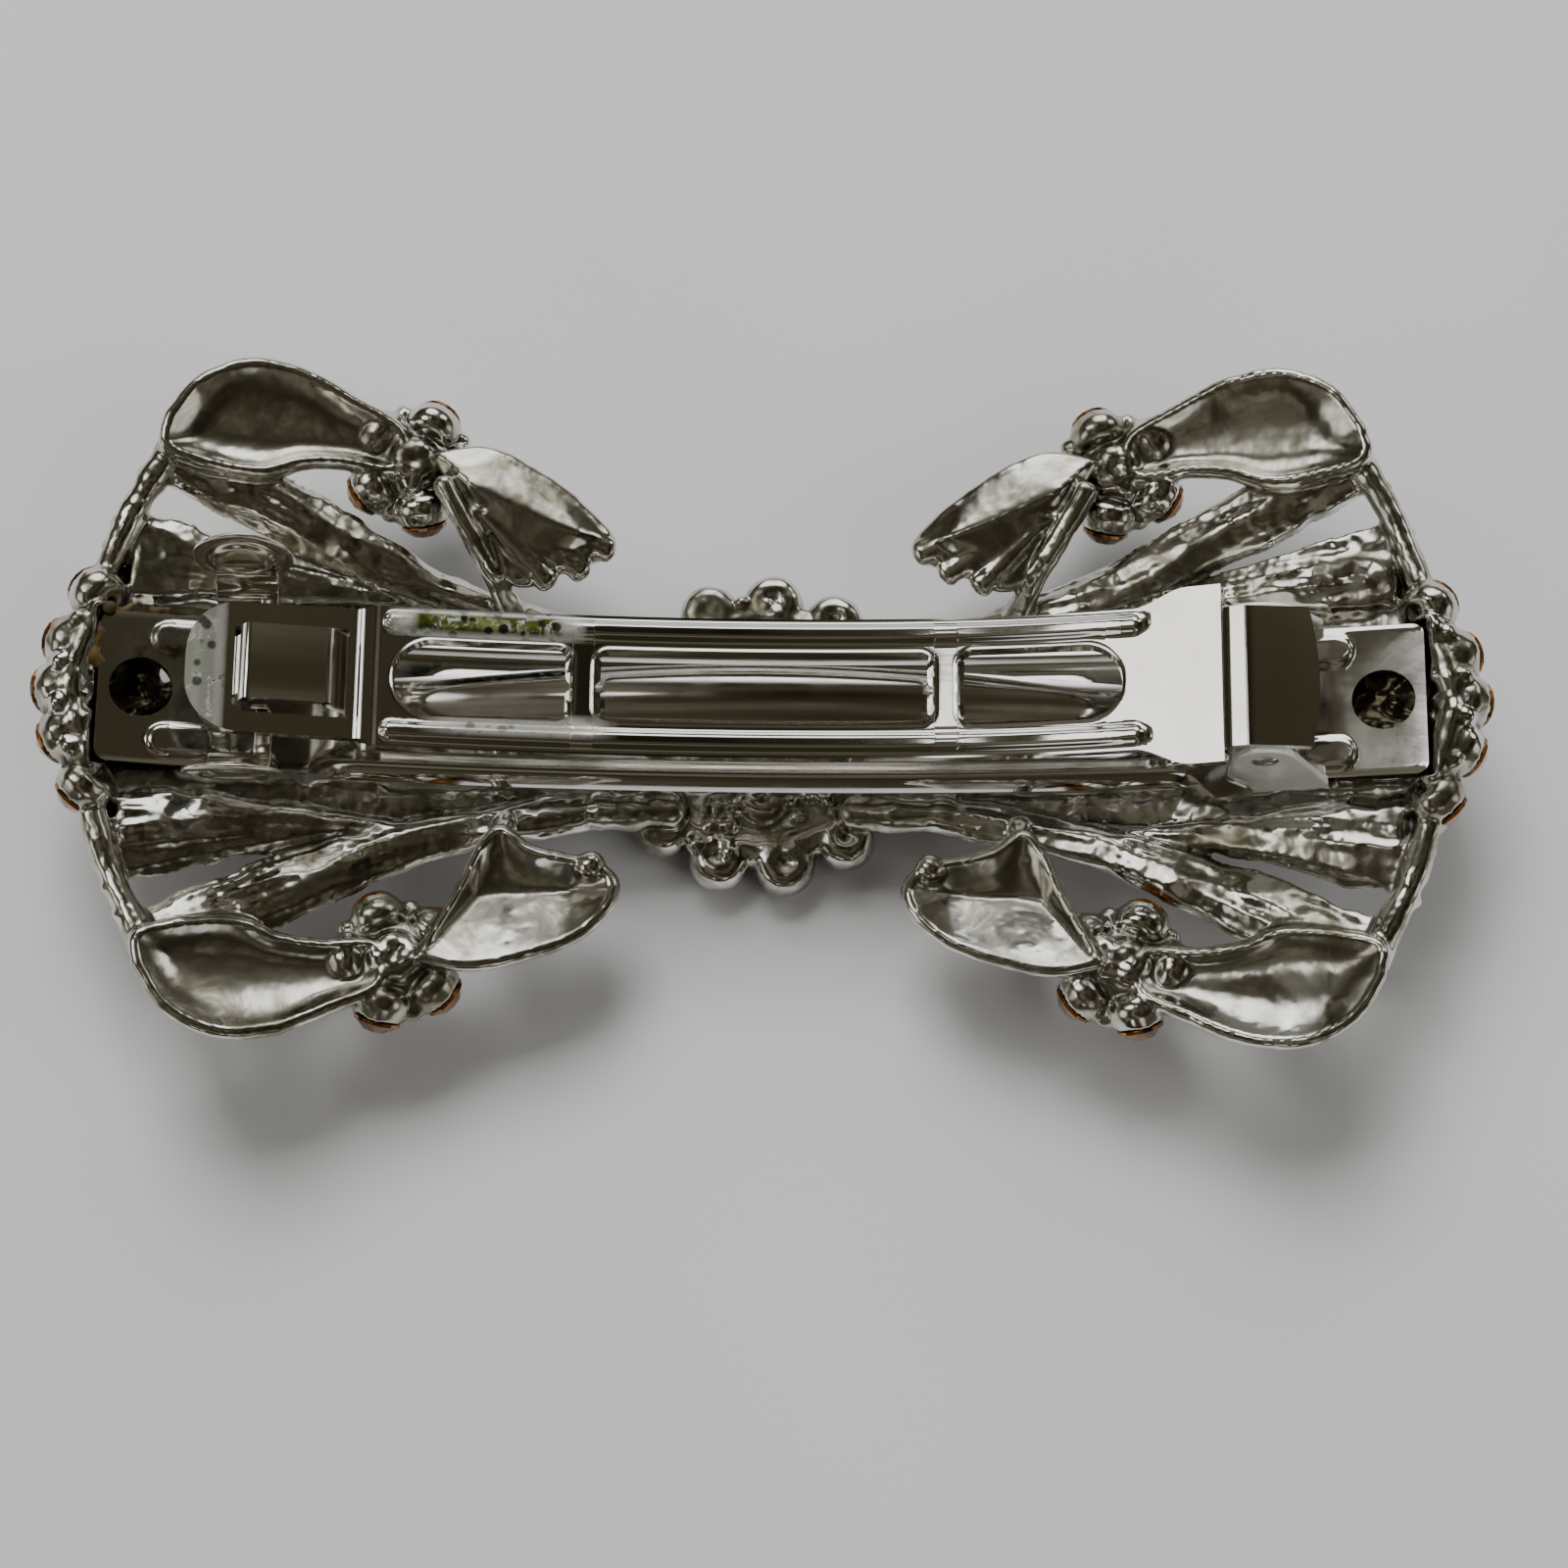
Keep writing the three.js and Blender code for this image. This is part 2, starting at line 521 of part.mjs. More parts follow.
function clipArm() {
  const strip = slab(stripOutline(armTop, ARM.thick, ARM.left - 1, SHOULDER.to, 16), -6, 6);
  let arm = bridge(strip.intersect(prism(armOutline(), 0, 20, 4)));
  for (const sy of [-1, 1]) {
    const raised = (x) => armTop(x) + ARM_RAIL.height;
    const rail = slab(stripOutline(raised, 0.6, ARM_RAIL.from, ARM_RAIL.to, 10), sy * ARM_RAIL.y - 1, sy * ARM_RAIL.y + 1);
    arm = arm.add(rail.intersect(prism(stadium(ARM_RAIL.from, ARM_RAIL.to, sy * ARM_RAIL.y, ARM_RAIL.halfWidth), 0, 20, 3)));
    arm = arm.add(horn(sy));
  }
  return arm.add(tail()).subtract(crossRod(HINGE.x, HINGE.z, HINGE.holeRadius, -6, 6));
}

const hingePin = () => {
  const shaft = crossRod(HINGE.x, HINGE.z, HINGE.pinRadius, -HINGE.halfPin + 0.2, HINGE.halfPin - 0.2);
  const heads = [-1, 1].map((sy) => {
    const [a, b] = sy > 0 ? [EAR.outer + 0.05, HINGE.halfPin] : [-HINGE.halfPin, -EAR.outer - 0.05];
    return crossRod(HINGE.x, HINGE.z, HINGE.holeRadius + 0.25, a, b);
  });
  return joined([shaft, ...heads]);
};

// ---------------------------------------------------------------- catch prong and tension bar

// The prong on the +Y side: a post from the plate, a hook tongue inwards, and a dished pad outwards.
function prong() {
  const x0 = PRONG.x - PRONG.halfLength;
  const x1 = PRONG.x + PRONG.halfLength;
  const foot = plateTop(x0) + GAP;
  const post = block(x0, x1, PRONG.inner, PRONG.outer, foot, PRONG.shelfTop);
  const shelf = block(x0, x1, PRONG.inner, PAD.y + 0.1, PRONG.shelfTop - 0.5, PRONG.shelfTop);
  const tongue = block(HOOK.from, HOOK.to, HOOK.tipInner, PRONG.inner + 0.2, PRONG.shelfTop - 0.5, PRONG.shelfTop);
  const tipTop = armTop(HOOK.from) + HOOK.tipTop;
  const tip = block(HOOK.from, HOOK.to, HOOK.tipInner, HOOK.tipOuter, PRONG.shelfTop - 0.5, tipTop);
  const disc = new THREE.CylinderGeometry(PAD.radius, PAD.radius, PAD.thick, 18);
  const dishCut = new THREE.SphereGeometry(6.0, 20, 16).translate(0, 6.0 + PAD.thick / 2 - PAD.dish + 0.35, 0);
  const pad = solid(disc).subtract(solid(dishCut)).add(
    solid(new THREE.CylinderGeometry(1.5, 1.2, 0.5, 12).translate(0, -PAD.thick / 2 - 0.15, 0)),
  );
  const lean = new THREE.Matrix4().makeRotationX(deg(PAD.lean)).setPosition(PRONG.padX, PAD.y, PAD.z);
  return joined([post, shelf, tongue, tip, pad.transform(lean.elements)]);
}

function tensionBar() {
  const { halfLength, halfWidth, endHalfWidth, thick, midTop, endLift } = BAR;
  const endTop = plateTop(halfLength) + endLift;
  const top = (x) => endTop + (midTop - endTop) * (1 - (x / halfLength) ** 2);
  const plan = new THREE.Shape();
  plan.moveTo(-halfLength, -endHalfWidth);
  plan.bezierCurveTo(-halfLength / 2, -halfWidth - 0.1, halfLength / 2, -halfWidth - 0.1, halfLength, -endHalfWidth);
  plan.lineTo(halfLength, endHalfWidth);
  plan.bezierCurveTo(halfLength / 2, halfWidth + 0.1, -halfLength / 2, halfWidth + 0.1, -halfLength, endHalfWidth);
  return slab(stripOutline(top, thick, -halfLength, halfLength, 14), -3, 3).intersect(prism(plan, 0, 20, 10));
}

// ---------------------------------------------------------------- cast bow

const mirrored = (made, sx, sy) => made.transform(new THREE.Matrix4().makeScale(sx, sy, 1).elements);

function quarterFrame() {
  return joined([limb(LONG_RIB), limb(SHORT_RIB), limb(RIM), limb(STRUT, 6, 3), leaf(OUTER_LEAF), leaf(INNER_LEAF)]);
}

function flowerCore(sx, sy) {
  const { axis, back } = flowerFrame(sx, sy);
  const core = new THREE.SphereGeometry(1, 10, 5).scale(3.0, 3.0, 1.2);
  const bead = new THREE.SphereGeometry(1.3, 8, 6).translate(0, 0, 1.3);
  const turn = new THREE.Matrix4().compose(
    back.clone().addScaledVector(axis, -0.1),
    new THREE.Quaternion().setFromUnitVectors(new THREE.Vector3(0, 0, 1), axis),
    new THREE.Vector3(1, 1, 1),
  );
  return solid(core).add(solid(bead)).transform(turn.elements);
}

function castBow() {
  const quarter = quarterFrame();
  const pieces = QUARTERS.map(({ sx, sy }) => mirrored(quarter, sx, sy));
  QUARTERS.forEach(({ sx, sy }) => pieces.push(flowerCore(sx, sy)));
  const hub = new THREE.CylinderGeometry(HUB.radius, HUB.radius, HUB.high - HUB.low, 20);
  pieces.push(solid(hub.rotateX(Math.PI / 2).translate(0, 0, (HUB.low + HUB.high) / 2)));
  for (const sx of [-1, 1]) {
    const [a, b] = sx > 0 ? [END_SEAT.inner, END_SEAT.outer] : [-END_SEAT.outer, -END_SEAT.inner];
    pieces.push(block(a, b, -END_SEAT.halfWidth, END_SEAT.halfWidth, END_SEAT.low, 11.6));
  }
  const cups = settings.map((setting) => {
    const { outer, room } = cupSolid(setting.radius, setting.cup);
    const place = placing(setting).elements;
    return { outer: outer.transform(place), room: room.transform(place) };
  });
  const whole = joined([...pieces, ...cups.map((cup) => cup.outer)]);
  const bow = whole.subtract(joined(cups.map((cup) => cup.room)));
  // The plate lies on the cast bow, so nothing of the bow stands in the plate's place or above it.
  const [reach, headroom] = [PLATE.halfLength + 1.5 * GAP, 6];
  const overPlate = stripOutline((x) => plateTop(x) + headroom, headroom + PLATE.thick + GAP, -reach, reach, 16);
  const cleared = bow.subtract(slab(overPlate, -PLATE.halfWidth - 1.5 * GAP, PLATE.halfWidth + 1.5 * GAP));
  return outerShell(cleared.simplify(SLIVER));
}

// ---------------------------------------------------------------- assembly

const barrette = new THREE.Group();

function place(name, geometry, material) {
  const mesh = new THREE.Mesh(geometry, material);
  mesh.name = name;
  barrette.add(mesh);
  return mesh;
}

place("cast_bow", geometryOf(castBow()), castMetal);
place("base_plate", geometryOf(basePlate()), stripMetal);
place("clip_arm", geometryOf(clipArm()), stripMetal);
place("hinge_pin", geometryOf(hingePin()), stripMetal);
place("tension_bar", geometryOf(tensionBar()), springMetal);
const upperProng = prong();
place("upper_catch_prong", geometryOf(upperProng), stripMetal);
place("lower_catch_prong", geometryOf(mirrored(upperProng, 1, -1)), stripMetal);
settings.forEach((setting) => {
  const stone = place(setting.name, stoneGeometry(setting.radius), setting.glass);
  stone.applyMatrix4(placing(setting));
});

export default barrette;
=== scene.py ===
"""Looks for the bow barrette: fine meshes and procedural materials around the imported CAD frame.

The frame is the CAD's, in metres: +X along the clip to its hinge, +Y across it, +Z up from the front.
Lengths are written in millimetres and turned to metres where a mesh is made.
"""

import math
import random

import bmesh
import bpy
import numpy as np
from mathutils import Matrix, Vector


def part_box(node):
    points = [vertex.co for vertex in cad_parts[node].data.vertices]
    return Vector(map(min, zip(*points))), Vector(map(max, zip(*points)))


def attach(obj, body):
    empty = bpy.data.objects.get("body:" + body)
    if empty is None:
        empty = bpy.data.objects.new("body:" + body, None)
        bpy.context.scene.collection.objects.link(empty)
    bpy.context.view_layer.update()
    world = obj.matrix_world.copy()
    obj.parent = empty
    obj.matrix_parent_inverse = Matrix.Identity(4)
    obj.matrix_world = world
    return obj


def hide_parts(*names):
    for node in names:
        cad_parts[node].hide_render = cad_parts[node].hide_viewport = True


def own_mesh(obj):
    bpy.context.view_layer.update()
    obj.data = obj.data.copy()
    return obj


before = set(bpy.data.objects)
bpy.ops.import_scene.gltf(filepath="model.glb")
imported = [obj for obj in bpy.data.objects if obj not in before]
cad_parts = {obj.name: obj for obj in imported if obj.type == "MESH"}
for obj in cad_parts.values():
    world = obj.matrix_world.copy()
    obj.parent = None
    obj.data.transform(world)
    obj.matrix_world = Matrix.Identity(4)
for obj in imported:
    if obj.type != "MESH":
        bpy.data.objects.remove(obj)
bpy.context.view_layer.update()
random.seed(7)

MM = 0.001

# ---------------------------------------------------------------- sizes from the frame, in millimetres


def box_mm(node):
    low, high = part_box(node)
    return np.array(low) / MM, np.array(high) / MM


_, PLATE_HIGH = box_mm("base_plate")
ARM_LOW, _ = box_mm("clip_arm")
_, BAR_HIGH = box_mm("tension_bar")
PIN_LOW, PIN_HIGH = box_mm("hinge_pin")
PRONG_LOW, PRONG_HIGH = box_mm("upper_catch_prong")

PLATE_LENGTH = PLATE_HIGH[0]
PLATE_WIDTH = 4.7
PLATE_THICK = 0.7
PLATE_MID_TOP = 7.0
PLATE_END_TOP = 12.2
PLATE_RISE = PLATE_END_TOP - PLATE_MID_TOP
PLATE_RADIUS = (PLATE_LENGTH**2 + PLATE_RISE**2) / (2 * PLATE_RISE)
PLATE_HOLE_X = 37.5
PLATE_HOLE_RADIUS = 1.85
PLATE_ROLL_X = 26.6  # within this the plate's edges are rolled down

ARM_THICK = 0.7
ARM_MID_TOP = 12.6
ARM_RISE, ARM_RISE_AT = 1.8, 22  # how far the arm's arc has risen, and where
ARM_LIFT, ARM_LIFT_FROM, ARM_LIFT_SPAN = 1.7, 8, 19.5  # how it bends up further towards the hinge
ARM_WIDTH = 4.35
ARM_LEFT = ARM_LOW[0]
# Each slot: from, to, half-width, corner radius at its left end and at its right end.
ARM_SLOTS = ((-22.0, -11.4, 2.4, 2.35, 0.95), (-10.1, 10.3, 2.25, 0.9, 0.9), (11.7, 21.4, 2.35, 0.95, 2.3))
BOTH_SIDES = ((1, "upper"), (-1, "lower"))  # the +Y side is the upper one in the pieces' names
RAIL_Y, RAIL_HALF, RAIL_HEIGHT = 3.4, 0.6, 0.38
RAIL_FROM, RAIL_TO = -22.6, 22.6
TONGUE_FROM, TONGUE_TO, TONGUE_WIDTH, TONGUE_LIFT = -31.2, -24.6, 2.3, 1.5
SLIT = 0.45
SHOULDER_FROM, SHOULDER_TO, SHOULDER_WIDTH = 22.6, 27.1, 5.45
TAIL_TO, TAIL_WIDTH = 32.4, 4.3

PIN_X = (PIN_LOW[0] + PIN_HIGH[0]) / 2
PIN_Z = (PIN_LOW[2] + PIN_HIGH[2]) / 2
PIN_REACH = PIN_HIGH[1]
LOOP_X = 24.4


def plate_top(x):
    return PLATE_MID_TOP + PLATE_RADIUS - np.sqrt(PLATE_RADIUS**2 - np.asarray(x, float) ** 2)


def arm_top(x):
    x = np.asarray(x, float)
    lift = ARM_LIFT * (np.maximum(x - ARM_LIFT_FROM, 0) / ARM_LIFT_SPAN) ** 2
    return ARM_MID_TOP + ARM_RISE * (x / ARM_RISE_AT) ** 2 + lift


# ---------------------------------------------------------------- mesh helpers


def smoothstep(low, high, value):
    t = np.clip((np.asarray(value, float) - low) / (high - low), 0, 1)
    return t * t * (3 - 2 * t)


def make_mesh(name, points, faces, smooth=True):
    """A mesh object from points in millimetres."""
    mesh = bpy.data.meshes.new(name)
    mesh.from_pydata([tuple(p) for p in np.asarray(points, float) * MM], [], faces)
    mesh.validate()
    mesh.update()
    obj = bpy.data.objects.new(name, mesh)
    bpy.context.scene.collection.objects.link(obj)
    shade(obj, smooth)
    return obj


def shade(obj, smooth=True):
    for polygon in obj.data.polygons:
        polygon.use_smooth = smooth


def clean(obj, merge=0.0005):
    """Merges doubled points, drops loose ones and turns all faces outward."""
    work = bmesh.new()
    work.from_mesh(obj.data)
    bmesh.ops.remove_doubles(work, verts=work.verts, dist=merge * MM)
    bmesh.ops.dissolve_degenerate(work, dist=merge * MM, edges=work.edges)
    loose = [v for v in work.verts if not v.link_faces]
    bmesh.ops.delete(work, geom=loose, context="VERTS")
    bmesh.ops.recalc_face_normals(work, faces=work.faces)
    work.to_mesh(obj.data)
    work.free()
    return obj


def bake_modifiers(obj):
    """Turns the object's modifiers into mesh."""
    bpy.context.view_layer.update()
    evaluated = obj.evaluated_get(bpy.context.evaluated_depsgraph_get())
    mesh = bpy.data.meshes.new_from_object(evaluated)
    obj.modifiers.clear()
    obj.data = mesh
    return obj


def thicken(obj, thick, offset):
    """Gives an open sheet its thickness: all of it below the sheet at offset -1, and half each way at 0."""
    solid = obj.modifiers.new("thickness", "SOLIDIFY")
    solid.thickness = thick * MM
    solid.offset = offset


def remeshed(obj, voxel, rounds):
    """Joins the object's overlapping bodies into one skin and softens it."""
    remesh = obj.modifiers.new("join", "REMESH")
    remesh.mode = "VOXEL"
    remesh.voxel_size = voxel * MM
    soften = obj.modifiers.new("soften", "SMOOTH")
    soften.factor = 0.5
    soften.iterations = rounds
    return bake_modifiers(obj)


def rounded_edges(obj, width, segments=2, angle=35):
    bevel = obj.modifiers.new("edges", "BEVEL")
    bevel.width = width * MM
    bevel.segments = segments
    bevel.limit_method = "ANGLE"
    bevel.angle_limit = math.radians(angle)
    bevel.harden_normals = True
    return obj


class Shell:
    """Closed surfaces collected in one list of points and faces, in millimetres."""

    def __init__(self):
        self.points = []
        self.faces = []
        self.count = 0

    def add(self, points, faces):
        self.points.append(np.asarray(points, float))
        self.faces.extend(tuple(i + self.count for i in face) for face in faces)
        self.count += len(points)

    def all_points(self):
        return np.concatenate(self.points)


def ring_faces(rings, sides):
    """Quads between rings of points, with the two ends closed by one face each."""
    faces = []
    for i in range(rings - 1):
        for j in range(sides):
            a, b = i * sides + j, i * sides + (j + 1) % sides
            faces.append((a, b, b + sides, a + sides))
    faces.append(tuple(reversed(range(sides))))
    faces.append(tuple(range((rings - 1) * sides, rings * sides)))
    return faces


def grid_faces(rows, columns):
    """Quads between the points of an open grid that is listed row by row."""
    return [
        (i * columns + j, i * columns + j + 1, (i + 1) * columns + j + 1, (i + 1) * columns + j)
        for i in range(rows - 1)
        for j in range(columns - 1)
    ]


def smooth_path(points, count):
    """Evenly spread points on a smooth curve through the given ones, and where each lies along the list."""
    points = np.asarray(points, float)
    gaps = np.linalg.norm(np.diff(points, axis=0), axis=1) ** 0.5
    knots = np.concatenate([[0], np.cumsum(gaps)])
    slopes = np.gradient(points, knots, axis=0)
    fine = np.linspace(0, knots[-1], 400)
    i = np.clip(np.searchsorted(knots, fine, side="right") - 1, 0, len(points) - 2)
    h = (knots[i + 1] - knots[i])[:, None]
    t = ((fine - knots[i]) / h[:, 0])[:, None]
    curve = (
        (2 * t**3 - 3 * t**2 + 1) * points[i]
        + (t**3 - 2 * t**2 + t) * h * slopes[i]
        + (3 * t**2 - 2 * t**3) * points[i + 1]
        + (t**3 - t**2) * h * slopes[i + 1]
    )
    length = np.concatenate([[0], np.cumsum(np.linalg.norm(np.diff(curve, axis=0), axis=1))])
    even = np.linspace(0, length[-1], count)
    places = np.interp(even, length, i + t[:, 0])
    return np.stack([np.interp(even, length, curve[:, k]) for k in range(3)], axis=1), places, length[-1]


def limb(shell, points, wide, high, lumps=0.0, sides=14, streaks=0.0):
    """A rounded limb along the points; its half-sizes change along it.

    lumps swells and narrows it from place to place, and streaks gives it ridges that run along it.
    """
    rough = len(points) * 14
    path, places, length = smooth_path(points, rough)
    along = np.gradient(path, axis=0)
    along /= np.linalg.norm(along, axis=1)[:, None]
    side = np.cross([0, 0, 1], along)
    side /= np.linalg.norm(side, axis=1)[:, None]
    over = np.cross(along, side)
    list_at = np.linspace(0, len(points) - 1, len(wide))
    half_wide = np.interp(places, list_at, wide)
    half_high = np.interp(places, list_at, high)
    travelled = np.linspace(0, length, rough)
    nearest_end = np.minimum(travelled, length - travelled)
    cap = np.sqrt(np.clip(1 - (1 - np.clip(nearest_end / half_high, 0.02, 1)) ** 2, 0, 1))
    bumps = drawn_noise(rough, 1, length / 1.1)[:, 0] * lumps
    ridges = drawn_noise(rough, sides, length / 3.5) * streaks
    angle = 2 * np.pi * np.arange(sides) / sides
    rings = []
    for k in range(rough):
        size = cap[k] * (1 + bumps[k] + ridges[k])
        ring = path[k] + np.outer(np.cos(angle) * half_wide[k] * size, side[k])
        rings.append(ring + np.outer(np.sin(angle) * half_high[k] * size, over[k]))
    shell.add(np.concatenate(rings), ring_faces(rough, sides))


def drawn_noise(rows, columns, spans):
    """Random values from -1 to 1, smooth from row to row over the given number of spans."""
    count = max(2, int(spans) + 1)
    table = np.array([[random.uniform(-1, 1) for _ in range(columns)] for _ in range(count)])
    place = np.linspace(0, count - 1, rows)
    low = np.minimum(place.astype(int), count - 2)
    t = (place - low)[:, None]
    t = t * t * (3 - 2 * t)
    return table[low] * (1 - t) + table[low + 1] * t


def axis_frame(axis):
    """A 3x3 turn that carries +Z onto the axis."""
    turn = Vector((0, 0, 1)).rotation_difference(Vector(axis)).to_matrix()
    return np.array(turn)


def turned(shell, profile, centre, axis, sides=24):
    """A body of revolution: its profile is (radius, height along the axis), from end to end on the axis."""
    angle = 2 * np.pi * np.arange(sides) / sides
    circle = np.stack([np.cos(angle), np.sin(angle)], axis=1)
    rings = [np.column_stack([circle * max(r, 0.003), np.full(sides, h)]) for r, h in profile]
    points = np.concatenate(rings) @ axis_frame(axis).T + np.asarray(centre)
    shell.add(points, ring_faces(len(profile), sides))


def ball(shell, centre, radius, squash=1.0, axis=(0, 0, 1), sides=14):
    steps = np.linspace(0, np.pi, 9)
    profile = [(radius * math.sin(a), -radius * squash * math.cos(a)) for a in steps]
    turned(shell, profile, centre, axis, sides)


# ---------------------------------------------------------------- materials


class Nodes:
    """Shorthand for building one material's nodes."""

    def __init__(self, name):
        self.material = bpy.data.materials.new(name)
        self.material.use_nodes = True
        self.tree = self.material.node_tree
        self.shader = self.tree.nodes["Principled BSDF"]
        self.position = self.tree.nodes.new("ShaderNodeTexCoord").outputs["Object"]

    def link(self, source, target):
        self.tree.links.new(source, target)
        return source

    def set(self, **values):
        for name, value in values.items():
            self.shader.inputs[name.replace("_", " ")].default_value = value

    def noise(self, scale, detail=4.0, roughness=0.55, distortion=0.0, vector=None):
        node = self.tree.nodes.new("ShaderNodeTexNoise")
        node.inputs["Scale"].default_value = scale
        node.inputs["Detail"].default_value = detail
        node.inputs["Roughness"].default_value = roughness
        node.inputs["Distortion"].default_value = distortion
        self.link(vector or self.position, node.inputs["Vector"])
        return node.outputs["Fac"]

    def cells(self, scale):
        node = self.tree.nodes.new("ShaderNodeTexVoronoi")
        node.inputs["Scale"].default_value = scale
        self.link(self.position, node.inputs["Vector"])
        return node.outputs["Distance"]

    def ramp(self, factor, stops):
        node = self.tree.nodes.new("ShaderNodeValToRGB")
        elements = node.color_ramp.elements
        while len(elements) < len(stops):
            elements.new(0.5)
        for element, (place, color) in zip(elements, stops):
            element.position = place
            element.color = (*color, 1) if isinstance(color, tuple) else (color, color, color, 1)
        self.link(factor, node.inputs["Fac"])
        return node.outputs["Color"]

    def mix(self, factor, first, second):
        node = self.tree.nodes.new("ShaderNodeMix")
        node.data_type = "RGBA"
        sockets = (node.inputs["Factor"], node.inputs[6], node.inputs[7])
        for socket, value in zip(sockets, (factor, first, second)):
            if isinstance(value, bpy.types.NodeSocket):
                self.link(value, socket)
            else:
                socket.default_value = (*value, 1) if isinstance(value, tuple) else value
        return node.outputs[2]

    def math(self, operation, first, second=0.0, clamp=False):
        node = self.tree.nodes.new("ShaderNodeMath")
        node.operation = operation
        node.use_clamp = clamp
        for socket, value in zip(node.inputs, (first, second)):
            if isinstance(value, bpy.types.NodeSocket):
                self.link(value, socket)
            else:
                socket.default_value = value
        return node.outputs[0]

    def stretched(self, x, y, z):
        node = self.tree.nodes.new("ShaderNodeMapping")
        node.inputs["Scale"].default_value = (x, y, z)
        self.link(self.position, node.inputs["Vector"])
        return node.outputs["Vector"]

    def axis_value(self, index):
        node = self.tree.nodes.new("ShaderNodeSeparateXYZ")
        self.link(self.position, node.inputs[0])
        return node.outputs[index]

    def window(self, index, low, high, soft, both_ways=False):
        """One inside low..high along an object axis, in millimetres, and nought outside, with soft ends.

        both_ways measures along the distance from the middle instead.
        """
        value = self.axis_value(index)
        if both_ways:
            value = self.math("ABSOLUTE", value)
        rise = self.math("DIVIDE", self.math("SUBTRACT", value, low * MM), soft * MM, clamp=True)
        fall = self.math("DIVIDE", self.math("SUBTRACT", high * MM, value), soft * MM, clamp=True)
        return self.math("MULTIPLY", rise, fall)

    def pointiness(self):
        return self.tree.nodes.new("ShaderNodeNewGeometry").outputs["Pointiness"]

    def patina_and_painted_shade(self, reach):
        """From nought in the open to near one in deep hollows, which rubbing never reaches and little light
        reaches: dark patina and painted shade together.
        """
        node = self.tree.nodes.new("ShaderNodeAmbientOcclusion")
        node.samples = 6
        node.inputs["Distance"].default_value = reach * MM
        return self.ramp(node.outputs["AO"], [(0.25, 0.9), (0.75, 0.0)])

    def bump(self, height, distance, strength=1.0, normal=None):
        node = self.tree.nodes.new("ShaderNodeBump")
        node.inputs["Distance"].default_value = distance * MM
        node.inputs["Strength"].default_value = strength
        self.link(height, node.inputs["Height"])
        if normal:
            self.link(normal, node.inputs["Normal"])
        return node.outputs["Normal"]

    def finish(self, color=None, roughness=None, normal=None, metallic=None):
        values = {"Base Color": color, "Roughness": roughness, "Normal": normal, "Metallic": metallic}
        for name, value in values.items():
            if value is not None:
                self.link(value, self.shader.inputs[name])
        return self.material


def strip_metal(name, bright, middling, stained, glued=False, satin=0.0, metallic=1.0):
    """Bright nickel plate on rolled strip: fine draw lines, soft waves, faint stains, and glue if asked."""
    n = Nodes(name)
    n.set(Metallic=metallic)
    lines = n.noise(1400, 3, vector=n.stretched(0.06, 1, 1))
    stains = n.noise(160, 5, 0.6, 0.6)
    tint = n.ramp(stains, [(0.35, bright), (0.62, middling), (0.8, stained)])
    rough = n.math("ADD", n.math("MULTIPLY", n.ramp(stains, [(0.4, 0.0), (0.75, 1.0)]), 0.12), 0.06 + satin)
    waves = n.bump(n.noise(110, 2, 0.4), 0.05, 0.5)
    if glued:
        place = n.math("MULTIPLY", n.window(0, -40.2, -33.0, 2.5), n.window(1, 0.2, 5.0, 1.6))
        smears = n.ramp(n.noise(330, 5, 0.6, 0.6), [(0.36, 0.0), (0.56, 1.0)])
        glue = n.math("MULTIPLY", place, smears, clamp=True)
        tint = n.mix(glue, tint, (0.15, 0.11, 0.04))
        rough = n.math("ADD", rough, n.math("MULTIPLY", glue, 0.25))
    return n.finish(tint, rough, n.bump(lines, 0.004, 0.5, waves))


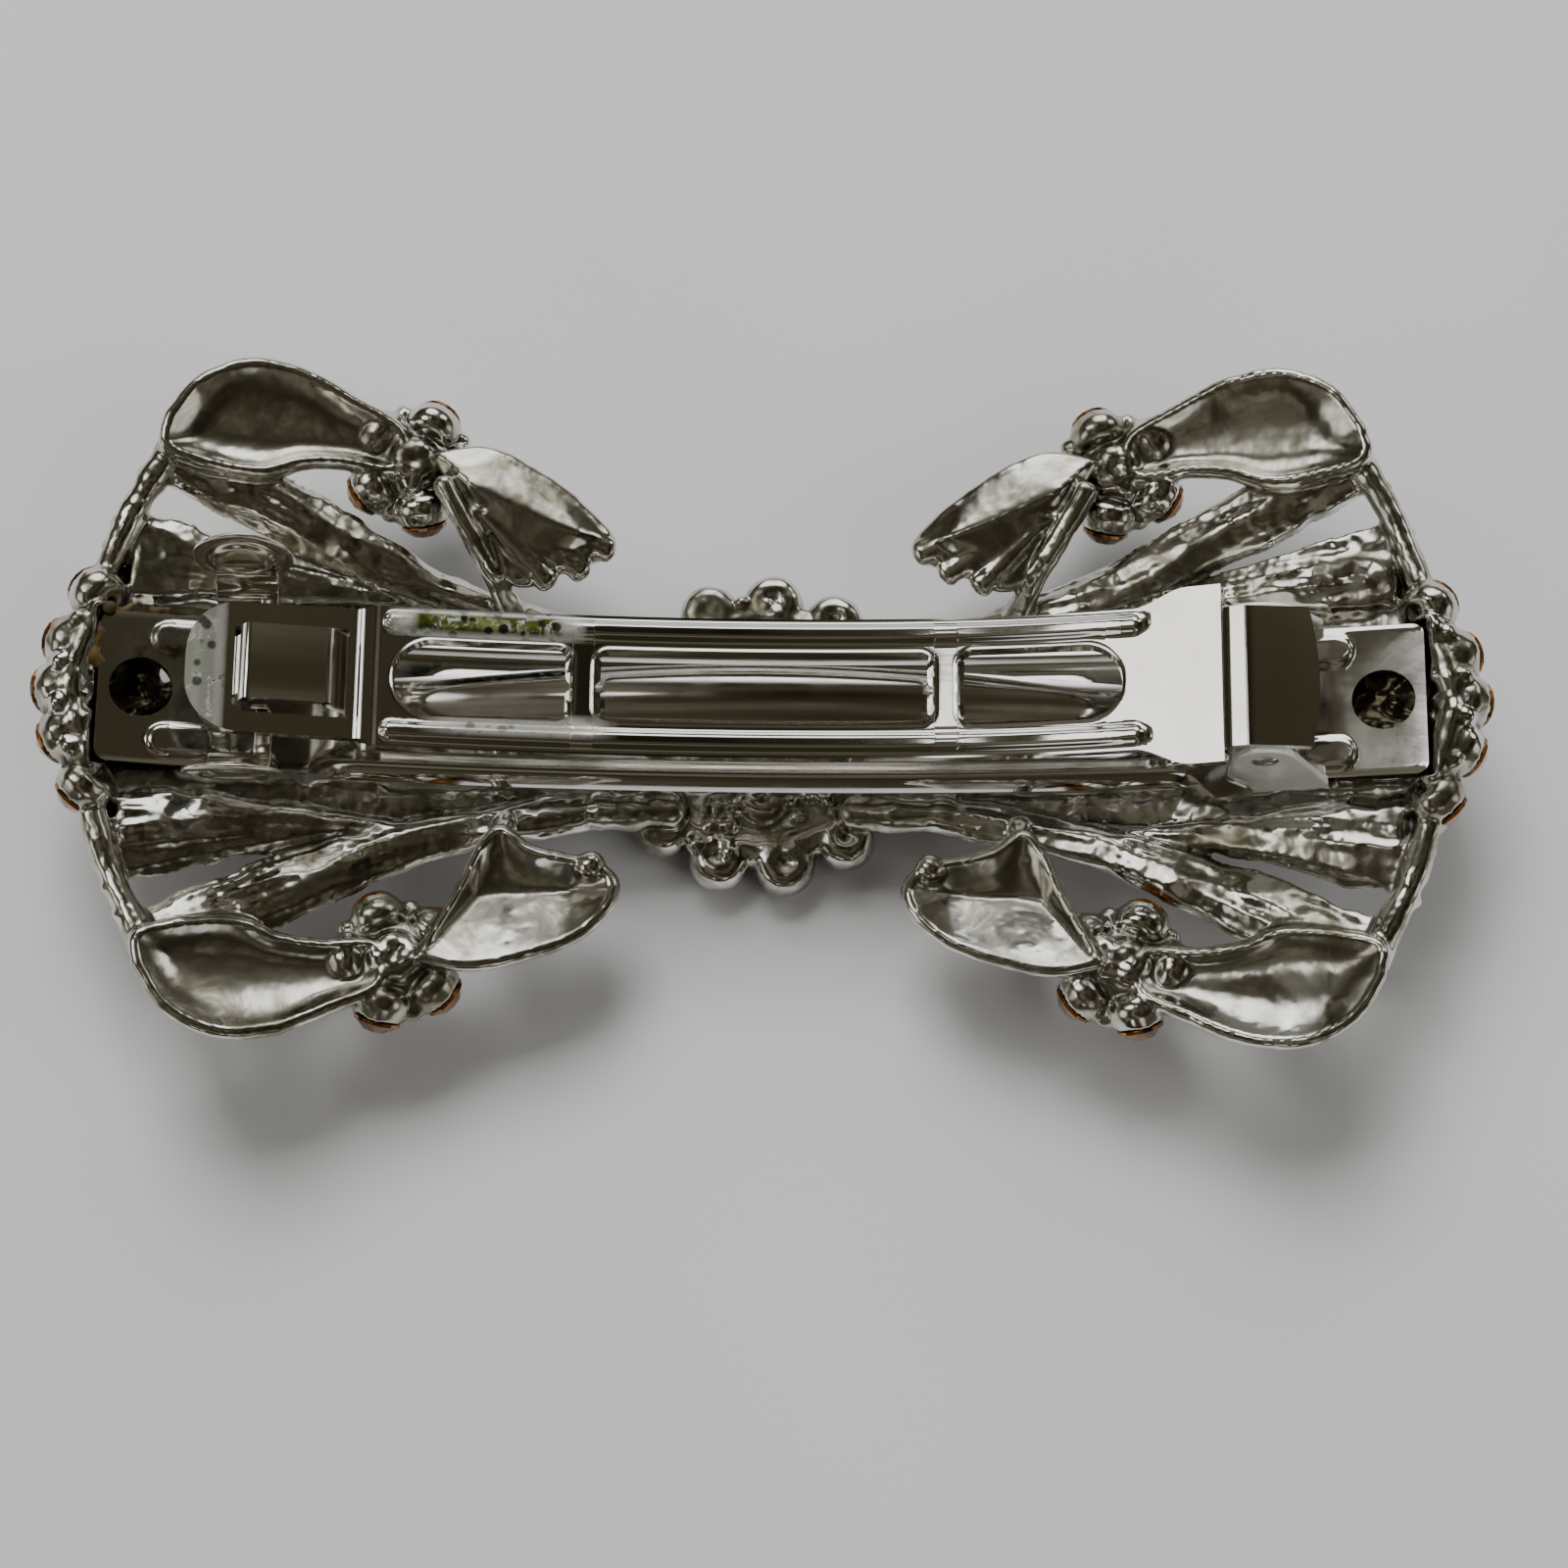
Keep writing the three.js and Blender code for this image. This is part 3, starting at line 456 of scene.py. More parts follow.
def arm_metal():
    """The arm's plate, with green corrosion and black specks on its rails and a dulled tab."""
    n = Nodes("arm_plate")
    n.set(Metallic=1.0)
    lines = n.noise(1400, 3, vector=n.stretched(0.06, 1, 1))
    stains = n.noise(160, 5, 0.6, 0.6)
    tint = n.ramp(stains, [(0.35, (0.83, 0.82, 0.79)), (0.62, (0.74, 0.72, 0.67)), (0.8, (0.60, 0.57, 0.50))])
    patches = n.ramp(n.noise(620, 8, 0.75, 0.9), [(0.38, 0.0), (0.47, 1.0)])
    far_rail = n.math("MULTIPLY", n.window(0, -22.5, -10.5, 2.0), n.window(1, 2.5, 4.4, 0.5))
    near_rail = n.math("MULTIPLY", n.window(0, -20.5, -8.5, 3.0), n.window(1, -3.6, -1.9, 0.6))
    tab = n.math("MULTIPLY", n.window(0, -34.6, -31.6, 0.8), 0.8)
    where = n.math("MAXIMUM", n.math("MAXIMUM", far_rail, n.math("MULTIPLY", near_rail, 0.6)), tab)
    green = n.math("MULTIPLY", where, patches, clamp=True)
    specks = n.math("MULTIPLY", n.ramp(n.cells(1000), [(0.26, 1.0), (0.36, 0.0)]), where, clamp=True)
    greens = [(0.40, (0.010, 0.014, 0.003)), (0.52, (0.045, 0.055, 0.010)), (0.66, (0.16, 0.17, 0.08))]
    deposit = n.ramp(n.noise(500, 5, 0.6), greens)
    color = n.mix(green, tint, n.mix(tab, deposit, (0.14, 0.15, 0.11)))
    color = n.mix(specks, color, (0.01, 0.012, 0.008))
    dull = n.math("MAXIMUM", green, specks)
    clean_rough = n.math("ADD", n.math("MULTIPLY", n.ramp(stains, [(0.4, 0.0), (0.75, 1.0)]), 0.10), 0.055)
    rough = n.math("ADD", clean_rough, n.math("MULTIPLY", dull, 0.4))
    cover = n.math("SUBTRACT", 0.96, n.math("MULTIPLY", tab, 0.6))
    shine = n.math("SUBTRACT", 1.0, n.math("MULTIPLY", dull, cover), clamp=True)
    bare = n.math("SUBTRACT", 1.0, dull, clamp=True)
    n.link(n.math("MULTIPLY", bare, 0.5), n.shader.inputs["Specular IOR Level"])
    waves = n.bump(n.noise(110, 2, 0.4), 0.05, 0.5)
    grains = n.bump(n.math("MULTIPLY", patches, where), 0.03, 0.5, waves)
    return n.finish(color, rough, n.bump(lines, 0.004, 0.5, grains), shine)


def leaf_metal():
    """The tension bar's polished spring strip."""
    n = Nodes("spring_leaf")
    n.set(Metallic=1.0)
    lines = n.noise(1800, 3, vector=n.stretched(0.04, 1, 1))
    stains = n.noise(200, 4, 0.6, 0.4)
    tint = n.ramp(stains, [(0.4, (0.82, 0.80, 0.78)), (0.75, (0.62, 0.57, 0.54))])
    rough = n.ramp(stains, [(0.4, 0.07), (0.8, 0.2)])
    return n.finish(tint, rough, n.bump(lines, 0.004, 0.5))


def cast_metal():
    """Bright plate on a casting: soft ripples, pits, tarnished patches, a dark patina in the hollows with
    painted shade in the deepest, and painted shade under the plate's ends.
    """
    n = Nodes("cast_plate")
    n.set(Metallic=1.0)
    ripples = n.noise(430, 2, 0.4, 0.5)
    swells = n.noise(170, 2, 0.4, 0.3)
    pits = n.ramp(n.cells(800), [(0.0, 0.0), (0.25, 1.0)])
    hollow = n.ramp(n.pointiness(), [(0.44, 1.0), (0.498, 0.0)])
    grime = n.math("MULTIPLY", hollow, n.ramp(n.noise(300, 5), [(0.25, 0.35), (0.6, 1.0)]), clamp=True)
    tarnish = n.noise(230, 4, 0.62, 0.9)
    tones = [(0.34, (0.80, 0.79, 0.75)), (0.5, (0.62, 0.60, 0.53)), (0.66, (0.27, 0.25, 0.18))]
    plate = n.ramp(tarnish, tones)
    # Deep hollows darkened: dark patina, and painted shade as well.
    plate = n.mix(n.patina_and_painted_shade(1.6), plate, (0.05, 0.045, 0.03))
    color = n.mix(grime, plate, (0.03, 0.028, 0.018))
    # Painted shade: the casting is darkened where it lies under the plate's ends and is seen through its
    # holes.
    painted_shade_under_ends = n.math("MULTIPLY", n.window(0, 33.5, 40.6, 0.6, both_ways=True), n.window(1, -4.9, 4.9, 0.4))
    color = n.mix(painted_shade_under_ends, color, (0.07, 0.06, 0.04))
    stains = n.ramp(tarnish, [(0.36, 0.08), (0.68, 0.30)])
    rough = n.math("ADD", stains, n.math("MULTIPLY", grime, 0.3))
    broad = n.bump(swells, 0.10, 0.5)
    fine = n.bump(ripples, 0.03, 0.5, broad)
    return n.finish(color, rough, n.bump(pits, 0.006, 0.3, fine))


def gem_glass(name, light, deep):
    """A foil-backed cut stone: a deep body colour with lighter patches painted in as glints, under clear
    gloss.
    """
    n = Nodes(name)
    n.set(IOR=1.5, Metallic=0.75, Coat_Weight=0.8, Coat_Roughness=0.02)
    patches = n.noise(650, 2, 0.5, 1.5)
    # The lighter patches are painted glints.
    color = n.ramp(patches, [(0.40, deep), (0.62, light)])
    scuffs = n.bump(n.noise(2500, 2), 0.003, 0.3)
    return n.finish(color, n.ramp(patches, [(0.3, 0.04), (0.8, 0.12)]), scuffs)


def glue_material():
    """Old yellow-brown glue."""
    n = Nodes("old_glue")
    n.set(IOR=1.5, Subsurface_Weight=0.2, Subsurface_Radius=(0.0006, 0.0004, 0.0002))
    color = n.ramp(n.noise(700, 5), [(0.35, (0.020, 0.013, 0.004)), (0.65, (0.085, 0.055, 0.016))])
    rough = n.ramp(n.noise(400), [(0.3, 0.3), (0.7, 0.6)])
    return n.finish(color, rough, n.bump(n.noise(900, 4), 0.08, 0.6))


def floor_material():
    """A plain pale grey sheet with the faintest mottling."""
    n = Nodes("pale_floor")
    n.set(Specular_IOR_Level=0.0)
    color = n.ramp(n.noise(12, 3), [(0.3, (0.51, 0.515, 0.52)), (0.7, (0.55, 0.55, 0.555))])
    rough = n.ramp(n.noise(30), [(0.3, 0.5), (0.7, 0.6)])
    return n.finish(color, rough, n.bump(n.noise(900, 3), 0.01, 0.15))


# Each set of colours: bright, middling and stained.
NICKEL = ((0.83, 0.82, 0.79), (0.72, 0.70, 0.65), (0.55, 0.53, 0.46))
WARM_NICKEL = ((0.84, 0.80, 0.71), (0.74, 0.69, 0.59), (0.55, 0.49, 0.38))
# A paler, partly non-metallic copy of the nickel, for the hinge ears: a painted sheen, standing for the
# bright reflection that they show.
SHEEN_PAINTED_NICKEL = ((0.95, 0.94, 0.90), (0.88, 0.87, 0.82), (0.74, 0.72, 0.64))
# A darker copy of the nickel, for the prong webs: painted shade, standing for the dark reflections that they
# show.
SHADE_DARKENED_NICKEL = ((0.58, 0.55, 0.48), (0.42, 0.38, 0.31), (0.24, 0.20, 0.14))

STRIP = strip_metal("strip_plate", *NICKEL)
GLUED_STRIP = strip_metal("glue_stained_plate", *NICKEL, glued=True)
SATIN_STRIP = strip_metal("satin_strip_plate", *WARM_NICKEL, satin=0.10)
# Painted sheen: the paler copy of the strip plate, used on the hinge ears.
EAR_STRIP = strip_metal("ear_plate", *SHEEN_PAINTED_NICKEL, satin=0.16, metallic=0.25)
# Painted shade: the darker copy of the strip plate, used on the prong webs.
SHADE_DARKENED_STRIP = strip_metal("shade_darkened_strip_plate", *SHADE_DARKENED_NICKEL)
ARM_PLATE = arm_metal()
SPRING = leaf_metal()
CAST = cast_metal()
AMBER = gem_glass("amber_stone", (0.38, 0.15, 0.022), (0.07, 0.019, 0.003))
CLEAR = gem_glass("clear_stone", (0.90, 0.88, 0.84), (0.45, 0.43, 0.40))
GLUE = glue_material()


def dress(obj, material, body, slot_name, *nodes):
    """Gives a finished piece its material and its body, and hides the CAD nodes that it stands for."""
    obj.data.materials.clear()
    obj.data.materials.append(material)
    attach(obj, body)
    if nodes:
        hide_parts(*nodes)
    return obj


# ---------------------------------------------------------------- pressed strip


def pressed_sheet(name, stations, edges, rows, absent, height, thick, edge=0.12):
    """A stamped strip, symmetric about y = 0.

    edges(x) gives the y of each line that bounds a band, from the middle outwards; rows says how many quads
    each band has; absent(band, x), if given, says where a band is cut away; height(x, y, band, share) gives
    the x and z of the top surface, where share is how far y lies across its band.
    """
    lines = []
    for band, count in enumerate(rows):
        lines.extend((band, k / count) for k in range(count))
    lines.append((len(rows) - 1, 1.0))
    columns = len(stations)
    half = len(lines)
    points = np.zeros((columns, 2 * half - 1, 3))
    for i, x in enumerate(stations):
        bounds = [0.0, *edges(x)]
        for j, (band, share) in enumerate(lines):
            y = bounds[band] + (bounds[band + 1] - bounds[band]) * share
            shown_x, z = height(x, y, band, share)
            points[i, half - 1 + j] = (shown_x, y, z)
            points[i, half - 1 - j] = (shown_x, -y, z)
    width = 2 * half - 1
    faces = []
    for i in range(columns - 1):
        middle = (stations[i] + stations[i + 1]) / 2
        for j in range(half - 1):
            if stations[i + 1] - stations[i] < 1e-6 or (absent and absent(lines[j][0], middle)):
                continue
            right = i * width + half - 1 + j
            left = i * width + half - 1 - j
            faces.append((right, right + width, right + width + 1, right + 1))
            faces.append((left, left - 1, left - 1 + width, left + width))
    obj = make_mesh(name, points.reshape(-1, 3), faces)
    clean(obj, 0.002)
    flat_up(obj)
    thicken(obj, thick, -1)
    rounded_edges(obj, edge, 2, 50)
    return bake_modifiers(obj)


def flat_up(obj):
    """Makes the faces of an open sheet face +Z."""
    total = sum(p.normal.z * p.area for p in obj.data.polygons)
    if total < 0:
        obj.data.flip_normals()


def stations_with(low, high, step, marks, fine=0.12, reach=1.2):
    """X stations at an even step, packed closer near each mark."""
    xs = set(np.round(np.arange(low, high + step / 2, step), 4))
    for mark in marks:
        for k in range(int(reach / fine) + 1):
            spread = reach * (k * fine / reach) ** 1.6
            xs.update((round(mark - spread, 4), round(mark + spread, 4)))
    xs.update(round(m, 4) for m in marks)
    ordered = sorted(x for x in xs if low <= x <= high)
    kept = [ordered[0]]
    for x in ordered[1:]:
        if x - kept[-1] > 0.03 or x in marks:
            if x in marks and x - kept[-1] <= 0.03 and kept[-1] not in marks and len(kept) > 1:
                kept.pop()
            kept.append(x)
    return kept


def slot_half(x, slot):
    """Half the height of a slot at x, with a corner radius at each of its ends."""
    low, high, half, left_round, right_round = slot
    if not low <= x <= high:
        return 0.0
    drop = 0.0
    if x < low + left_round:
        drop = left_round - math.sqrt(max(0.0, left_round**2 - (low + left_round - x) ** 2))
    if x > high - right_round:
        drop = right_round - math.sqrt(max(0.0, right_round**2 - (x - high + right_round) ** 2))
    return max(half - drop, 0.05)


def slot_distance(x, y, slot):
    """How far the point lies outside a slot with rounded corners; below nought inside it."""
    low, high, half, left_round, right_round = slot
    middle = (low + high) / 2
    corner = left_round if x < middle else right_round
    qx = abs(x - middle) - (high - low) / 2 + corner
    qy = abs(y) - half + corner
    return math.hypot(max(qx, 0), max(qy, 0)) + min(max(qx, qy), 0) - corner


def stadium_bump(x, y, low, high, middle, radius, soft):
    """One on a long oval, falling smoothly to nought over its soft edge."""
    nearest = min(max(x, low + radius), high - radius)
    away = math.hypot(x - nearest, y - middle)
    return 1 - float(smoothstep(radius - soft, radius + soft * 0.4, away))


def build_base_plate():
    """The plate: round holes, raised ovals beside them, a raised spine and rolled edges."""
    hole = (-PLATE_HOLE_X - PLATE_HOLE_RADIUS, -PLATE_HOLE_X + PLATE_HOLE_RADIUS, PLATE_HOLE_RADIUS)
    slot = (*hole, PLATE_HOLE_RADIUS, PLATE_HOLE_RADIUS)
    corner = 0.8

    def edges(x):
        outer = PLATE_WIDTH
        end_gap = PLATE_LENGTH - abs(x)
        if end_gap < corner:
            outer -= corner - math.sqrt(max(0.0, corner**2 - (corner - end_gap) ** 2))
        inner = max(slot_half(-abs(x), slot), 0.05)
        return inner, max(inner + 0.2, outer)

    def absent(band, x):
        return band == 0 and slot[0] < -abs(x) < slot[1]

    def height(x, y, _band, _share):
        z = float(plate_top(x))
        low, high = (-37.0, -32.6) if x < 0 else (32.2, 35.8)
        z += 0.26 * stadium_bump(x, y, low, high, 3.2, 1.0, 0.26)
        z += 0.25 * stadium_bump(x, y, -21, 21, 0, 2.2, 0.5)
        inside = 1 - float(smoothstep(PLATE_ROLL_X - 1.5, PLATE_ROLL_X + 0.8, abs(x)))
        z -= 1.0 * inside * max(0.0, (y - 2.9) / 1.8) ** 2
        z += 0.16 * inside * math.exp(-(((y - 3.9) / 0.28) ** 2))
        z -= (0.12 if x > -PLATE_ROLL_X else 0.03) * max(0.0, (y - 4.3) / 0.4) ** 2
        return x, z

    marks = [s * v for s in (-1, 1) for v in (-slot[1], -slot[0], PLATE_LENGTH)]
    stations = stations_with(-PLATE_LENGTH, PLATE_LENGTH, 0.5, sorted(marks), 0.16, 1.9)
    plate = pressed_sheet("base_plate_strip", stations, edges, (3, 22), absent, height, PLATE_THICK)
    dress(plate, GLUED_STRIP, "bow", "strip_plate", "base_plate")


def arm_edges(x):
    """The lines of the arm's bands: slot or tongue edge, slit edge, tail edge, outer edge."""
    inner = max((slot_half(x, slot) for slot in ARM_SLOTS), default=0.0)
    if x <= TONGUE_TO + 1.6:
        blend = float(smoothstep(TONGUE_TO, TONGUE_TO + 1.6, x))
        inner = TONGUE_WIDTH + (0.6 - TONGUE_WIDTH) * blend
        slit = TONGUE_WIDTH + SLIT + (0.9 - TONGUE_WIDTH - SLIT) * blend
    else:
        inner = max(inner, 0.05)
        slit = inner + 0.3
    outer = ARM_WIDTH - 0.35 * (1 - float(smoothstep(TONGUE_TO + 0.6, TONGUE_TO + 1.8, x)))
    if x > SHOULDER_FROM - 0.6:
        outer += (SHOULDER_WIDTH - ARM_WIDTH) * float(smoothstep(SHOULDER_FROM - 0.6, SHOULDER_FROM + 2.6, x))
    from_end = x - ARM_LEFT
    if from_end < 3.2:
        round_end = math.sqrt(max(0.0, 1 - (1 - from_end / 3.2) ** 2))
        outer = min(outer, 0.9 + (outer - 0.9) * round_end)
        inner = min(inner, outer * 0.45)
        slit = min(slit, outer * 0.6)
    tail = min(TAIL_WIDTH, outer - 0.3) if x > SHOULDER_FROM else outer - 0.3
    return inner, max(slit, inner + 0.1), max(tail, slit + 0.1), max(outer, tail + 0.1)


def arm_absent(band, x):
    in_slot = any(slot[0] < x < slot[1] for slot in ARM_SLOTS)
    in_slit = TONGUE_FROM < x < TONGUE_TO
    return (band == 0 and in_slot) or (band == 1 and in_slit) or (band == 3 and x > SHOULDER_TO)


def arm_height(x, y, band, share):
    """The arm's top: tongue, rails, the lip round each slot, and the tail's step, ramp and bulged end."""
    z = float(arm_top(min(x, SHOULDER_TO)))
    if x > SHOULDER_TO:
        z -= 0.8 * float(smoothstep(SHOULDER_TO, SHOULDER_TO + 0.5, x))
        z += 0.30 * float(np.clip((x - SHOULDER_TO - 0.6) / 0.9, 0, 1))
        z -= 0.06 * max(0.0, x - SHOULDER_TO - 1.9)
    z += RAIL_HEIGHT * stadium_bump(x, y, RAIL_FROM, RAIL_TO, RAIL_Y, RAIL_HALF, 0.4)
    if TONGUE_FROM < x < TONGUE_TO and (band == 0 or (band == 1 and share == 0)):
        inside = min(x - TONGUE_FROM, TONGUE_TO - x)
        crown = 0.1 * (1 - (y / TONGUE_WIDTH) ** 2) * min(1, inside)
        z += TONGUE_LIFT * float(smoothstep(0, 1.0, inside)) + crown
    step = float(smoothstep(TONGUE_TO + 0.4, TONGUE_TO + 0.9, x)) - float(smoothstep(-23.2, -22.7, x))
    z += 0.22 * step
    z -= 0.25 * (1 - float(smoothstep(ARM_LEFT, ARM_LEFT + 1.2, x)))
    slot_gap = min(slot_distance(x, y, slot) for slot in ARM_SLOTS)
    z += 0.06 * (1 - float(smoothstep(0.0, 0.22, slot_gap)))
    bulge = 0.55 * (1 - (y / TAIL_WIDTH) ** 2) * float(smoothstep(SHOULDER_TO + 1.5, TAIL_TO, x))
    return x + bulge, z


def build_arm():
    slot_marks = [v for slot in ARM_SLOTS for v in slot[:2]]
    marks = [ARM_LEFT, TONGUE_FROM, TONGUE_TO, *slot_marks, SHOULDER_TO, TAIL_TO]
    marks += [TONGUE_FROM + 0.5, TONGUE_TO - 0.5, TONGUE_TO + 1.2, -22.9, SHOULDER_TO + 1.1]
    stations = stations_with(ARM_LEFT, TAIL_TO, 0.4, sorted(marks), 0.12, 1.0)
    arm = pressed_sheet("arm_strip", stations, arm_edges, (5, 2, 20, 3), arm_absent, arm_height, ARM_THICK)
    dress(arm, ARM_PLATE, "arm", "strip_plate", "clip_arm")


# ---------------------------------------------------------------- plates cut in the XZ plane


def rounded_outline(points, radius):
    """The outline with each corner rounded off."""
    result = []
    count = len(points)
    for i in range(count):
        before, corner, after = (np.array(points[(i + k) % count], float) for k in (-1, 0, 1))
        a = before - corner
        b = after - corner
        reach = min(radius, np.linalg.norm(a) * 0.45, np.linalg.norm(b) * 0.45)
        start = corner + a / np.linalg.norm(a) * reach
        end = corner + b / np.linalg.norm(b) * reach
        for t in np.linspace(0, 1, 5):
            result.append((1 - t) ** 2 * start + 2 * t * (1 - t) * corner + t**2 * end)
    return result


def upright_plate(name, outline, low, high, edge=0.12, lean=0.0):
    """A flat plate whose outline is in X and Z, between two y places; lean moves it in y as z rises."""
    count = len(outline)
    base = min(p[1] for p in outline)
    points = [(x, low + lean * (z - base), z) for x, z in outline]
    points += [(x, high + lean * (z - base), z) for x, z in outline]
    faces = [tuple(range(count)), tuple(reversed(range(count, 2 * count)))]
    faces += [(i, i + count, (i + 1) % count + count, (i + 1) % count) for i in range(count)]
    obj = make_mesh(name, points, faces)
    clean(obj)
    rounded_edges(obj, edge, 3, 50)
    return bake_modifiers(obj)


def mirrored_span(side, inner, outer):
    return (inner, outer) if side > 0 else (-outer, -inner)


def build_ears():
    for side, label in BOTH_SIDES:
        foot = float(plate_top(27.8)) - 0.3
        outline = [
            (27.8, foot),
            (34.4, float(plate_top(34.4)) - 0.3),
            (33.0, 12.9),
            (PIN_X + 1.5, 15.6),
            (PIN_X + 0.6, 16.05),
            (PIN_X - 0.9, 16.05),
            (27.9, 14.9),
        ]
        low, high = mirrored_span(side, 5.0, 5.45)
        lean = -0.12 * side
        ear = upright_plate(f"{label}_hinge_ear", rounded_outline(outline, 0.8), low, high, 0.14, lean)
        # The ear's paler plate is a painted sheen.
        dress(ear, EAR_STRIP, "bow", "strip_plate")


def build_horns():
    for side, label in BOTH_SIDES:
        outline = [
            (23.4, float(arm_top(23.4)) - 0.15),
            (25.4, 14.2),
            (26.8, 11.2),
            (27.6, 9.95),
            (28.9, 9.85),
            (29.7, 10.8),
            (29.3, 12.0),
            (27.7, 13.4),
            (27.45, float(arm_top(27.4)) - 0.1),
        ]
        low, high = mirrored_span(side, 5.6, 6.05)
        lean = -0.11 * side
        horn = upright_plate(f"{label}_arm_horn", rounded_outline(outline, 0.9), low, high, 0.16, lean)
        dress(horn, ARM_PLATE, "arm", "strip_plate")


def build_knuckles():
    for side, label in BOTH_SIDES:
        radius = 1.25
        angle = np.linspace(np.pi, 2 * np.pi, 14)
        outline = [(PIN_X + radius * math.cos(a), PIN_Z + radius * math.sin(a)) for a in angle]
        under_tail = float(arm_top(SHOULDER_TO)) - 1.2
        outline += [(PIN_X + radius, under_tail), (PIN_X - radius, under_tail)]
        low, high = mirrored_span(side, 3.4, 3.8)
        knuckle = upright_plate(f"{label}_arm_knuckle", outline, low, high, 0.1)
        dress(knuckle, ARM_PLATE, "arm", "strip_plate")


def build_pin():
    shell = Shell()
    reach = PIN_REACH
    half = [(0, -reach), (0.55, -reach + 0.02), (0.85, -reach + 0.12), (0.9, -4.78), (0.6, -4.74)]
    profile = [*half, (0.6, 0), *((r, -h) for r, h in reversed(half))]
    turned(shell, profile, (PIN_X, 0, PIN_Z), (0, 1, 0), 40)
    pin = clean(make_mesh("hinge_pin_turned", shell.all_points(), shell.faces))
    rounded_edges(pin, 0.05, 2, 40)
    bake_modifiers(pin)
    dress(pin, STRIP, "bow", "strip_plate", "hinge_pin")


# ---------------------------------------------------------------- prongs and tension bar


def bent_strip(name, path, x, half_length, columns, thick, edge):
    """A strip that follows a path in Y and Z and reaches half_length to each side of x."""
    points = [(x + s, p[1], p[2]) for p in path for s in np.linspace(-half_length, half_length, columns)]
    strip = make_mesh(name, points, grid_faces(len(path), columns))
    thicken(strip, thick, 0)
    rounded_edges(strip, edge, 2, 50)
    return bake_modifiers(strip)


def prong_pad(side, label, x):
    """The finger pad: a round plate with a raised ring and a dished middle."""
    lean = math.radians(8)
    axis = (0, side * math.cos(lean), -math.sin(lean))
    profile = [
        (0, 0.22), (0.95, 0.22), (1.2, 0.28), (1.42, 0.50), (1.6, 0.54), (1.78, 0.44), (1.95, 0.24),
        (2.3, 0.20), (2.75, 0.27), (2.92, 0.26), (3.0, 0.14), (2.94, 0.02), (2.75, -0.03), (2.2, -0.10),
        (1.9, -0.06), (1.6, 0.16), (1.3, 0.02), (0.9, -0.06), (0, -0.06),
    ]
    shell = Shell()
    turned(shell, [(r, -h) for r, h in profile], (x, side * 6.75, 16.6), axis, 64)
    pad = clean(make_mesh(f"{label}_prong_pad", shell.all_points(), shell.faces))
    smoother = pad.modifiers.new("smooth", "SUBSURF")
    smoother.levels = 1
    smoother.render_levels = 1
    return bake_modifiers(pad)


def build_prong(side, label):
    """A catch prong: its pad, the web that rises to it from the plate, and a hook in the arm's slit."""
    x = (PRONG_LOW[0] + PRONG_HIGH[0]) / 2
    body = f"{label}_prong"
    dress(prong_pad(side, label, x), SATIN_STRIP, body, "strip_plate", f"{label}_catch_prong")

    foot = float(plate_top(x)) + 0.1
    profile = [(4.72, foot), (4.74, foot + 2.0), (4.78, 13.4), (5.1, 14.1)]
    profile += [(5.75, 14.5), (6.25, 15.0), (6.5, 16.2)]
    path, _, _ = smooth_path([(0, side * y, z) for y, z in profile], 30)
    web = bent_strip(f"{label}_prong_web", path, x, 1.9, 9, 0.48, 0.12)
    # The web's darker plate is painted shade.
    dress(web, SHADE_DARKENED_STRIP, body, "strip_plate")

    left, right = -30.1, -29.1
    tip_top = float(arm_top((left + right) / 2)) + 0.35
    hook = (("tip", 13.8, tip_top, 0.3, (2.38, 2.62)), ("shelf", 13.75, 14.2, 0.1, (2.4, 4.8)))
    for piece, bottom, top, corner, span in hook:
        outline = rounded_outline([(left, bottom), (right, bottom), (right, top), (left, top)], corner)
        low, high = mirrored_span(side, *span)
        plate = upright_plate(f"{label}_prong_{piece}", outline, low, high, 0.08)
        dress(plate, STRIP, body, "strip_plate")


def build_bar():
    """The tension bar: a leaf, bowed up and crowned across, built as it rests; the real bar flattens as it is
    pressed.
    """
    half_length = BAR_HIGH[0]
    mid_top = BAR_HIGH[2]
    end_top = float(plate_top(half_length)) + 0.62

    def edges(x):
        share = abs(x) / half_length
        outer = 1.95 - 0.85 * share**1.5
        if share > 0.97:
            outer *= 1 - 0.4 * (share - 0.97) / 0.03
        return (outer,)

    def height(x, y, _band, _share):
        z = end_top + (mid_top - end_top) * (1 - (x / half_length) ** 2)
        return x, z - 0.42 * (y / 1.9) ** 2

    stations = list(np.linspace(-half_length, half_length, 90))
    bar = pressed_sheet("tension_bar_leaf", stations, edges, (10,), None, height, 0.35, 0.1)
    dress(bar, SPRING, "bow", "spring_leaf", "tension_bar")
    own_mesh(bar)


def build_bar_loops():
    """The two loops of the plate that hold the ends of the tension bar."""
    for side, label in ((-1, "left"), (1, "right")):
        top = float(plate_top(LOOP_X))
        half = [(-2.3, -0.3), (-2.28, 0.7), (-1.9, 1.3), (-1.1, 1.45), (0, 1.5)]
        arch = half + [(-y, z) for y, z in half[-2::-1]]
        path, _, _ = smooth_path([(0, y, z + top) for y, z in arch], 36)
        loop = bent_strip(f"{label}_bar_loop", path, side * LOOP_X, 0.7, 6, 0.4, 0.1)
        dress(loop, STRIP, "bow", "strip_plate")


# ---------------------------------------------------------------- stones


